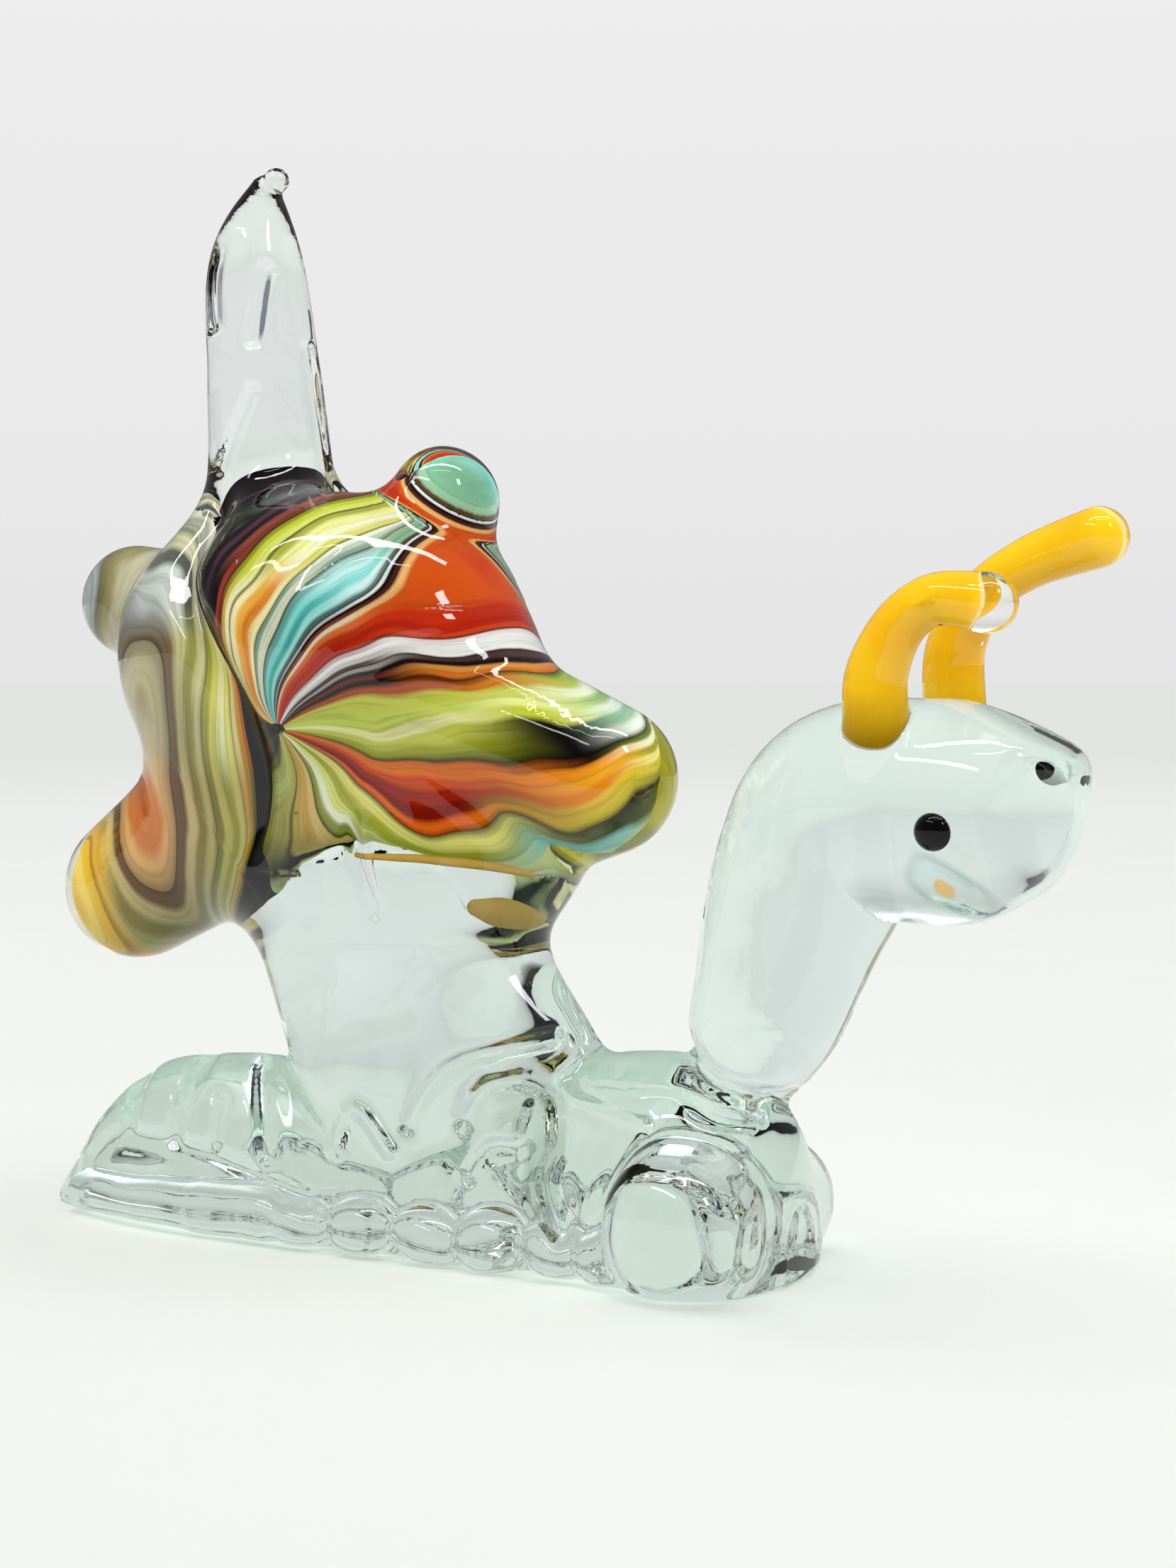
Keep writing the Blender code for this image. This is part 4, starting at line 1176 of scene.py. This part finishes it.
def make_fan(skin):
    """The canes that fan out from the shell's pole, one after the other round the twist."""
    thread = skin.thread()
    start = CANE_START
    for name, width, palettes, turns in FAN:
        off = wrapped(skin.twist - start - width / 2)
        far = 0.0
        for turn in turns:
            far = far + 1 - smooth_step(np.abs(skin.latitude), turn - LATITUDE_RUN, turn + LATITUDE_RUN)
        extra = [off / width + 0.5, skin.latitude, far]
        patches = [skin.patch([width / 2 - np.abs(off), skin.side - skin.black, -thread], extra)]
        if name == "cane_08_pearl":
            white = [np.full_like(off, THREAD_COLOUR), skin.latitude, np.ones_like(off)]
            patches.append(skin.patch([thread, skin.side], white))
        if name == "cane_15_black":
            extra[0] = np.full_like(off, BLACK_AT)
            patches.append(skin.patch([skin.side, skin.black - skin.side], extra))
            patches.append(skin.patch([skin.ring - ROLL_EDGE, -skin.side], extra))
        # The painted reflections of the shell's colours in the stem go with the gold cane
        tubes = [reflection_tube(line) for line in REFLECTION_LINES] if name == REFLECTION_CANE else []
        piece = thick_patches("twisted_" + name, patches, cane_material(name, palettes, FAN_SEAM), tubes)
        dress(piece, name, name)
        start += width


def make_roll(skin):
    """The canes that ring the rear roll's notch."""
    up = skin.points[:, 2]
    down = 2 - smooth_step(up, *ROLL_LOW) - smooth_step(up, *ROLL_TOP)
    for (name, palettes), low, high in zip(ROLL, ROLL_RINGS, ROLL_RINGS[1:]):
        extra = [(skin.ring - low) / (high - low), up, np.maximum(down, 3 * skin.amber)]
        patches = [skin.patch([skin.ring - low, high - skin.ring, -skin.side], extra)]
        piece = thick_patches("rolled_" + name, patches, cane_material(name, palettes, ROLL_SEAM))
        dress(piece, name, name)


def make_inner_gather(skin):
    """The clear gather that the canes lie on."""
    reach = skin.reach - CANE_THICK - GATHER_GAP
    points = SHELL_CENTRE + skin.way * reach[:, None]
    along, around = GATHER_COARSE
    grid = points.reshape(LATITUDE_STEPS + 1, ROUND_STEPS, 3)[::along, ::around]
    rows, steps, _ = grid.shape
    faces = ring_faces(rows, steps)
    faces.append(tuple(range(steps)))
    faces.append(tuple((rows - 1) * steps + step for step in reversed(range(steps))))
    material = clear_glass("inner_glass", BODY_SHADES)
    piece = mesh_object("clear_shell_core", grid.reshape(-1, 3), faces, (material,))
    dress(piece, "clear_glass", "shell_core")


def make_canes():
    skin = Skin()
    make_fan(skin)
    make_roll(skin)
    make_inner_gather(skin)


# Materials


def grey(level):
    return level, level, level, 1.0


class Nodes:
    """Short ways to add and join shader nodes."""

    def __init__(self, tree):
        self.tree = tree

    def add(self, kind, inputs=None, **settings):
        node = self.tree.nodes.new(kind)
        for key, value in settings.items():
            setattr(node, key, value)
        for key, value in (inputs or {}).items():
            self.set(node.inputs[key], value)
        return node

    def set(self, socket, value):
        if isinstance(value, bpy.types.NodeSocket):
            self.tree.links.new(value, socket)
        else:
            socket.default_value = value

    def math(self, operation, a, b=0.0, c=0.0):
        node = self.add("ShaderNodeMath", {0: a, 1: b, 2: c}, operation=operation)
        return node.outputs[0]

    def ramp(self, value, stops):
        """Colours or grey levels by value, as (value, colour)."""
        node = self.add("ShaderNodeValToRGB", {0: value})
        elements = node.color_ramp.elements
        while len(elements) < len(stops):
            elements.new(0.5)
        for element, (at, colour) in zip(elements, stops):
            element.position = at
            element.color = (*colour, 1.0) if hasattr(colour, "__len__") else grey(colour)
        return node.outputs[0]

    def split(self, vector):
        return self.add("ShaderNodeSeparateXYZ", {0: vector}).outputs

    def dot(self, vector, axis):
        node = self.add("ShaderNodeVectorMath", {0: vector, 1: axis}, operation="DOT_PRODUCT")
        return node.outputs["Value"]

    def falling(self, value, start, end):
        """1 up to the start, and down to 0 at the end."""
        return self.add("ShaderNodeMapRange", {0: value, 1: start, 2: end, 3: 1.0, 4: 0.0}).outputs[0]

    def noise(self, vector, scale, detail):
        node = self.add("ShaderNodeTexNoise", {"Vector": vector, "Scale": scale, "Detail": detail})
        return node.outputs[0]

    def mix(self, share, a, b, kind="MIX"):
        node = self.add("ShaderNodeMix", data_type="RGBA", blend_type=kind)
        for place, value in ((0, share), (6, a), (7, b)):
            self.set(node.inputs[place], value)
        return node.outputs[2]


def new_material(name, values):
    """A material with these values on its shader, and what it takes to add to it."""
    made = bpy.data.materials.new(name)
    made.use_nodes = True
    nodes = Nodes(made.node_tree)
    shader = made.node_tree.nodes["Principled BSDF"]
    for socket, value in values.items():
        shader.inputs[socket].default_value = value
    place = nodes.add("ShaderNodeTexCoord").outputs["Object"]
    return made, nodes, shader, place


# How the glass shades what is seen through it, up the figurine as (share of its height, colour)
TALL = 0.128
THICK_SHADE = (0.87, 0.945, 0.92)
BODY_SHADES = [(0.16, (0.74, 0.82, 0.785)), (0.26, THICK_SHADE), (0.32, THICK_SHADE), (0.40, (1.0, 1.0, 1.0))]
HEAD_SHADES = [(0.0, THICK_SHADE), (1.0, THICK_SHADE)]
# The glass's own faint colour, which drifts between these
GLASS_TINTS = [(0.3, (0.92, 0.97, 0.95)), (0.7, (0.955, 0.985, 0.975))]
# Tints and painted shade lie right of here, are squarer than ovals and fade between these shares of their
# size
SPOT_SIDE = -0.002
SPOT_POWER = 3.0
SPOT_EDGE = (0.4, 1.0)


def clear_glass(name, shades, tints_and_shade=(), tilt=0.0):
    """Clear glass, shaded up its height, with tilted tints and painted shade on its right side: middle, half
    sizes, colour.
    """
    values = {"Roughness": 0.0, "IOR": 1.5, "Transmission Weight": 1.0}
    made, nodes, shader, place = new_material(name, values)
    own = nodes.ramp(nodes.noise(place, 140.0, 1.0), GLASS_TINTS)
    _, left, up = nodes.split(place)
    shade = nodes.ramp(nodes.math("DIVIDE", up, TALL), shades)
    colour = nodes.mix(1.0, own, shade, "MULTIPLY")
    near = nodes.math("LESS_THAN", left, SPOT_SIDE)
    axes = turned(tilt, "Y")[:, [0, 2]].T
    # Each spot is mixed over the glass's colour: painted shade on the foot, in the spire's slots and round
    # the mouth, and the mouth's own tints
    for middle, halves, tint in tints_and_shade:
        off = nodes.add("ShaderNodeVectorMath", {0: place, 1: Vector(middle) * MM}, operation="SUBTRACT")
        sizes = []
        for axis, half in zip(axes, halves):
            along = nodes.dot(off.outputs[0], Vector(axis))
            share = nodes.math("ABSOLUTE", nodes.math("DIVIDE", along, half * MM))
            sizes.append(nodes.math("POWER", share, SPOT_POWER))
        share = nodes.falling(nodes.math("ADD", *sizes), *SPOT_EDGE)
        colour = nodes.mix(nodes.math("MULTIPLY", share, near), colour, (*tint, 1.0))
    nodes.set(shader.inputs["Base Color"], colour)
    uneven = nodes.noise(place, 260.0, 1.0)
    bump = nodes.add("ShaderNodeBump", {"Height": uneven, "Strength": 0.08, "Distance": 0.0004})
    nodes.set(shader.inputs["Normal"], bump.outputs[0])
    return made


def seat_glass():
    """Where two bits of clear glass have melted together, there is nothing to see."""
    return new_material("melted_seat", {"Alpha": 0.0, "IOR": 1.0})[0]


# Colour under clear glass looks deeper, as when wet: the shares of its light that get out and are sent back
CASED_OUT = 0.65
CASED_BACK = 0.60
# Share of a cane's width that its dark seam takes up
SEAM = 0.075
# The heights between which the darker yellow by the head, a painted shade, turns into the lighter one, and
# the colours
YELLOW_SHADE_HEIGHTS = (0.0595, 0.0650)
SHADED_YELLOW = (166, 120, 4)
YELLOWS = [(0.3, (0.95, 0.52, 0.004)), (0.6, (0.97, 0.63, 0.010))]
# How far the streaks wander across a cane, how fine they are across and along it, and how dark
DRIFT = 0.22
STREAK_FINE = (9.0, 0.02)
STREAK_SHADES = [(0.30, 0.72), (0.50, 1.0), (0.70, 1.0)]
# The part of a band's width that has its pure colour
BAND_PURE = (0.22, 0.78)


def cased(colour):
    """The linear colour that looks like this one under clear glass."""
    return [value / (CASED_OUT + CASED_BACK * value) for value in to_linear(colour)]


def streaks(nodes, across, colours):
    """Bands of colour across a cane, with short runs from each to the next."""
    stops = []
    for i, colour in enumerate(colours):
        for part in BAND_PURE:
            stops.append(((i + part) / len(colours), cased(colour)))
    return nodes.ramp(across, stops)


def cane_material(name, palettes, seam_dark):
    """Streaks of colours across the cane, drawn out along it, that turn from one palette to the next."""
    values = {"Roughness": 0.3, "Specular IOR Level": 0.0}
    made, nodes, shader, place = new_material("glass_" + name, values)
    where = nodes.add("ShaderNodeAttribute", attribute_name="cane")
    across, along, far = nodes.split(where.outputs["Vector"])
    drift = nodes.noise(place, 110.0, 2.0)
    moved = nodes.math("MULTIPLY_ADD", drift, DRIFT, nodes.math("SUBTRACT", across, DRIFT / 2))
    base = streaks(nodes, moved, palettes[0])
    for turn, colours in enumerate(palettes[1:]):
        base = nodes.mix(nodes.math("SUBTRACT", far, float(turn)), base, streaks(nodes, moved, colours))
    fine = [nodes.math("MULTIPLY", part, scale) for part, scale in zip((across, along), STREAK_FINE)]
    streak_at = nodes.add("ShaderNodeCombineXYZ", dict(enumerate(fine)))
    streak = nodes.noise(streak_at.outputs[0], 2.2, 3.0)
    shade = nodes.ramp(streak, STREAK_SHADES)
    seam = nodes.ramp(across, [(0.0, seam_dark), (SEAM, 1.0), (1 - SEAM, 1.0), (1.0, seam_dark)])
    shade = nodes.mix(1.0, shade, seam, "MULTIPLY")
    nodes.set(shader.inputs["Base Color"], nodes.mix(1.0, base, shade, "MULTIPLY"))
    return made


def yellow_glass():
    values = {"Roughness": 0.1, "Transmission Weight": 0.3, "IOR": 1.1}
    made, nodes, shader, place = new_material("yellow_glass", values)
    tint = nodes.ramp(nodes.noise(place, 120.0, 2.0), YELLOWS)
    _, _, up = nodes.split(place)
    # Painted shade: the core is darker low down, where it meets the head
    painted_shade = nodes.falling(up, *YELLOW_SHADE_HEIGHTS)
    nodes.set(shader.inputs["Base Color"], nodes.mix(painted_shade, tint, (*cased(SHADED_YELLOW), 1.0)))
    return made


def black_glass():
    values = {"Roughness": 0.03, "Specular IOR Level": 0.25}
    made, nodes, shader, place = new_material("black_glass", values)
    drift = nodes.noise(place, 300.0, 2.0)
    nodes.set(shader.inputs["Base Color"], nodes.ramp(drift, [(0.3, 0.002), (0.7, 0.006)]))
    return made


# Tentacle cores and eyes


def ring_faces(rows, sides, first=0):
    """Quads between rows of points, where each row is a closed ring."""
    faces = []
    for row in range(rows - 1):
        a, b = first + row * sides, first + (row + 1) * sides
        for i in range(sides):
            j = (i + 1) % sides
            faces.append((a + i, b + i, b + j, a + j))
    return faces


def ring_tube(line, sides, dome_steps=6):
    """Points and faces of a closed round tube along a line, with domed ends."""
    ways = np.gradient(line[:, :3], axis=0)
    ways /= np.linalg.norm(ways, axis=1)[:, None]
    rings = list(zip(line[:, :3], line[:, 3], ways))
    for end, out in ((0, -1.0), (-1, 1.0)):
        point, radius, way = rings[end]
        for step in range(1, dome_steps):
            turn = math.pi / 2 * step / dome_steps
            ring = (point + out * way * radius * math.sin(turn), radius * math.cos(turn), way)
            rings.insert(0 if out < 0 else len(rings), ring)
    points = []
    for middle, size, way in rings:
        side = np.cross(way, (0.0, 1.0, 0.0))
        side /= np.linalg.norm(side)
        up = np.cross(side, way)
        for i in range(sides):
            turn = 2 * math.pi * i / sides
            points.append(middle + size * (math.cos(turn) * side + math.sin(turn) * up))
    faces = [(p, s, r, q) for p, q, r, s in ring_faces(len(rings), sides)]
    faces.append(tuple(range(sides))[::-1])
    faces.append(tuple((len(rings) - 1) * sides + i for i in range(sides)))
    return np.array(points), faces


def make_tentacle_cores(material):
    for side in TENTACLES:
        points, faces = ring_tube(core_line(side), CORE_SIDES)
        piece = mesh_object(f"yellow_{side}_core", points, faces, (material,))
        dress(piece, "yellow_glass", side + "_tentacle_core")


def make_eyes(material):
    """Each eye is a low dome that stands out from the head's skin."""
    steps, sides = EYE_STEPS, EYE_SIDES
    ahead = np.array((1.0, 0.0, 0.0))
    for side in ("right", "left"):
        middle = np.array(sum(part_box(side + "_eye"), Vector()) / 2) / MM
        out = np.array((0.0, middle[1], middle[2] - HEAD_AXIS))
        out /= np.linalg.norm(out)
        up = np.cross(ahead, out)
        base = np.array((middle[0], 0.0, HEAD_AXIS)) + out * HEAD_RADIUS
        points = [base + out * EYE_TALL]
        for step in range(1, steps + 1):
            tilt = math.pi / 2 * step / steps
            for i in range(sides):
                turn = 2 * math.pi * i / sides
                flat = EYE_RADIUS * math.sin(tilt) * (math.cos(turn) * ahead + math.sin(turn) * up)
                points.append(base + flat + out * EYE_TALL * math.cos(tilt) ** EYE_ROUND)
        faces = [(0, 1 + i, 1 + (i + 1) % sides) for i in range(sides)]
        faces += ring_faces(steps, sides, 1)
        faces.append(tuple(1 + (steps - 1) * sides + i for i in reversed(range(sides))))
        piece = mesh_object(f"black_{side}_eye", np.array(points), faces, (material,))
        dress(piece, "black_glass", side + "_eye")


# Stage

FLOOR_SIZE = 40000.0
# The floor's colour further and further out, darker with painted shade where less light falls, as (share of
# FLOOR_FALL in metres, colour)
FLOOR_FALL = 2.0
FLOOR_SHADE_FALLOFF = [(0.0, (0.93, 0.945, 0.915)), (0.25, (0.87, 0.895, 0.855)), (1.0, (0.77, 0.79, 0.765))]
# Levels by height, from 0 straight down to 1 straight up: the wall that the camera sees, the room that is
# seen through glass, and where the lamp over it begins
WALL = [(0.5, 0.78), (0.51, 0.795), (0.53, 0.82), (0.56, 0.83), (0.58, 0.863)]
ROOM = [(0.5, 0.78), (0.60, 0.85), (0.72, 0.66), (0.80, 0.9), (1.0, 1.0)]
LAMP = [(0.78, 0.0), (0.84, 1.0)]
LAMP_LEVEL = 1.85
# Dark cards in the room, for the lines in clear glass: (share of the round, width), and how far up they go
DARK_CARDS = [
    (0.02, 0.02), (0.105, 0.075), (0.555, 0.075), (0.66, 0.03), (0.735, 0.016), (0.81, 0.03), (0.93, 0.024),
]
CARD_EDGE = 0.003
CARD_HEIGHT = [(0.497, 0.0), (0.5, 1.0), (0.74, 1.0), (0.77, 0.0)]
CARD_COLOUR = (0.03, 0.03, 0.035, 1.0)
# What the glass mirrors, from beside the photo's view to straight out of it
MIRROR = [(0.0, 0.22), (0.35, 0.07), (1.0, 0.04)]
# Bright windows that only show as reflections: degrees round, degrees up, half width, half height, strength
WINDOWS = [
    (-61.5, 80.0, 0.60, 0.04, 16.0),
    (-61.5, 66.0, 0.30, 0.015, 12.0),
    (-112.0, 46.0, 0.30, 0.035, 10.0),
    (-18.0, 40.0, 0.06, 0.10, 16.0),
]
WINDOW_EDGE = 0.012
# Even light on the colours inside the glass, so that they look as they are written
GLASS_LIGHT = 3.2


def make_floor():
    values = {"Roughness": 0.9, "Specular IOR Level": 0.1}
    made, nodes, shader, place = new_material("pale_floor", values)
    away = nodes.add("ShaderNodeVectorMath", {0: place}, operation="LENGTH").outputs["Value"]
    # Painted shade: the floor darkens further out, as if less light reached it
    fall = nodes.ramp(nodes.math("DIVIDE", away, FLOOR_FALL), FLOOR_SHADE_FALLOFF)
    drift = nodes.ramp(nodes.noise(place, 14.0, 3.0), [(0.3, 0.985), (0.7, 1.0)])
    nodes.set(shader.inputs["Base Color"], nodes.mix(1.0, fall, drift, "MULTIPLY"))
    corners = np.array([(-1, -1, 0), (1, -1, 0), (1, 1, 0), (-1, 1, 0)]) * FLOOR_SIZE
    floor = mesh_object("floor", corners, [(0, 1, 2, 3)], (made,))


def window_light(nodes, way, window):
    """The light of one window, seen along way."""
    turn, rise, wide, high, strength = window
    turn, rise = math.radians(turn), math.radians(rise)
    out = Vector((math.cos(turn) * math.cos(rise), math.sin(turn) * math.cos(rise), math.sin(rise)))
    across = Vector((-math.sin(turn), math.cos(turn), 0.0))
    up = out.cross(across)
    ahead, *sides = (nodes.dot(way, axis) for axis in (out, across, up))
    found = nodes.math("GREATER_THAN", ahead, 0.0)
    for side, half in zip(sides, (wide, high)):
        off = nodes.math("ABSOLUTE", nodes.math("DIVIDE", side, ahead))
        found = nodes.math("MULTIPLY", found, nodes.falling(off, half - WINDOW_EDGE, half))
    return nodes.math("MULTIPLY", found, strength)


def dark_cards(nodes, turn, rise):
    """1 on the room's dark cards and 0 beside them."""
    stops = [(0.0, 0.0)]
    for at, wide in DARK_CARDS:
        low, high = at - wide / 2, at + wide / 2
        stops += [(low - CARD_EDGE, 0.0), (low, 1.0), (high, 1.0), (high + CARD_EDGE, 0.0)]
    return nodes.math("MULTIPLY", nodes.ramp(turn, stops), nodes.ramp(rise, CARD_HEIGHT))


def make_world():
    """A pale studio that the camera, glass, mirrors and colours under glass each see in their own way."""
    world = bpy.data.worlds.new("studio")
    bpy.context.scene.world = world
    world.use_nodes = True
    nodes = Nodes(world.node_tree)
    background = world.node_tree.nodes["Background"]
    way = nodes.add("ShaderNodeTexCoord").outputs["Generated"]
    x, y, z = nodes.split(way)
    rise = nodes.math("ADD", nodes.math("DIVIDE", nodes.math("ARCSINE", z), math.pi), 0.5)
    turn = nodes.math("DIVIDE", nodes.math("ARCTAN2", y, x), 2 * math.pi)
    turn = nodes.math("FRACT", nodes.math("ADD", turn, 1.0))
    wall = nodes.ramp(rise, WALL)
    room = nodes.mix(nodes.ramp(rise, LAMP), nodes.ramp(rise, ROOM), grey(LAMP_LEVEL))
    room = nodes.mix(dark_cards(nodes, turn, rise), room, CARD_COLOUR)
    mirror = nodes.ramp(nodes.dot(way, Vector(VIEW_NEAR)), MIRROR)
    for window in WINDOWS:
        mirror = nodes.mix(1.0, mirror, window_light(nodes, way, window), "ADD")
    path = nodes.add("ShaderNodeLightPath").outputs
    mirrored = nodes.math("SUBTRACT", path["Is Glossy Ray"], path["Is Transmission Ray"])
    from_colour = nodes.math("MULTIPLY", path["Diffuse Depth"], path["Is Transmission Ray"])
    under_glass = nodes.math("GREATER_THAN", from_colour, 0.5)
    room = nodes.mix(under_glass, room, grey(GLASS_LIGHT))
    seen = nodes.mix(nodes.math("MAXIMUM", mirrored, 0.0), room, mirror)
    nodes.set(background.inputs["Color"], nodes.mix(path["Is Camera Ray"], seen, wall))
    background.inputs["Strength"].default_value = 1.0


def make_camera():
    turn, rise = math.radians(CAMERA_TURN), math.radians(CAMERA_RISE)
    away = Vector((math.sin(turn) * math.cos(rise), -math.cos(turn) * math.cos(rise), math.sin(rise)))
    camera = bpy.data.objects.new("camera", bpy.data.cameras.new("camera"))
    camera.data.lens = CAMERA_LENS
    camera.data.clip_start = 0.01
    camera.location = (Vector(CAMERA_TARGET) + away * CAMERA_DISTANCE) * MM
    camera.rotation_euler = (-away).to_track_quat("-Z", "Y").to_euler()
    bpy.context.scene.collection.objects.link(camera)
    bpy.context.scene.camera = camera


def set_bounces():
    cycles = bpy.context.scene.cycles
    cycles.max_bounces = 24
    cycles.transmission_bounces = 20
    cycles.glossy_bounces = 8
    cycles.diffuse_bounces = 4
    cycles.transparent_max_bounces = 40


make_camera()
make_floor()
make_world()
set_bounces()
glass = clear_glass("clear_glass", BODY_SHADES, BODY_PAINTED_SHADE)
tinted_and_shaded = {"head_and_neck": clear_glass("head_glass", HEAD_SHADES, MOUTH_TINTS_AND_SHADE, MOUTH_TILT)}
make_clear_bits(glass, tinted_and_shaded, seat_glass())
make_canes()
make_tentacle_cores(yellow_glass())
make_eyes(black_glass())

bpy.context.scene.view_settings.view_transform = "Standard"
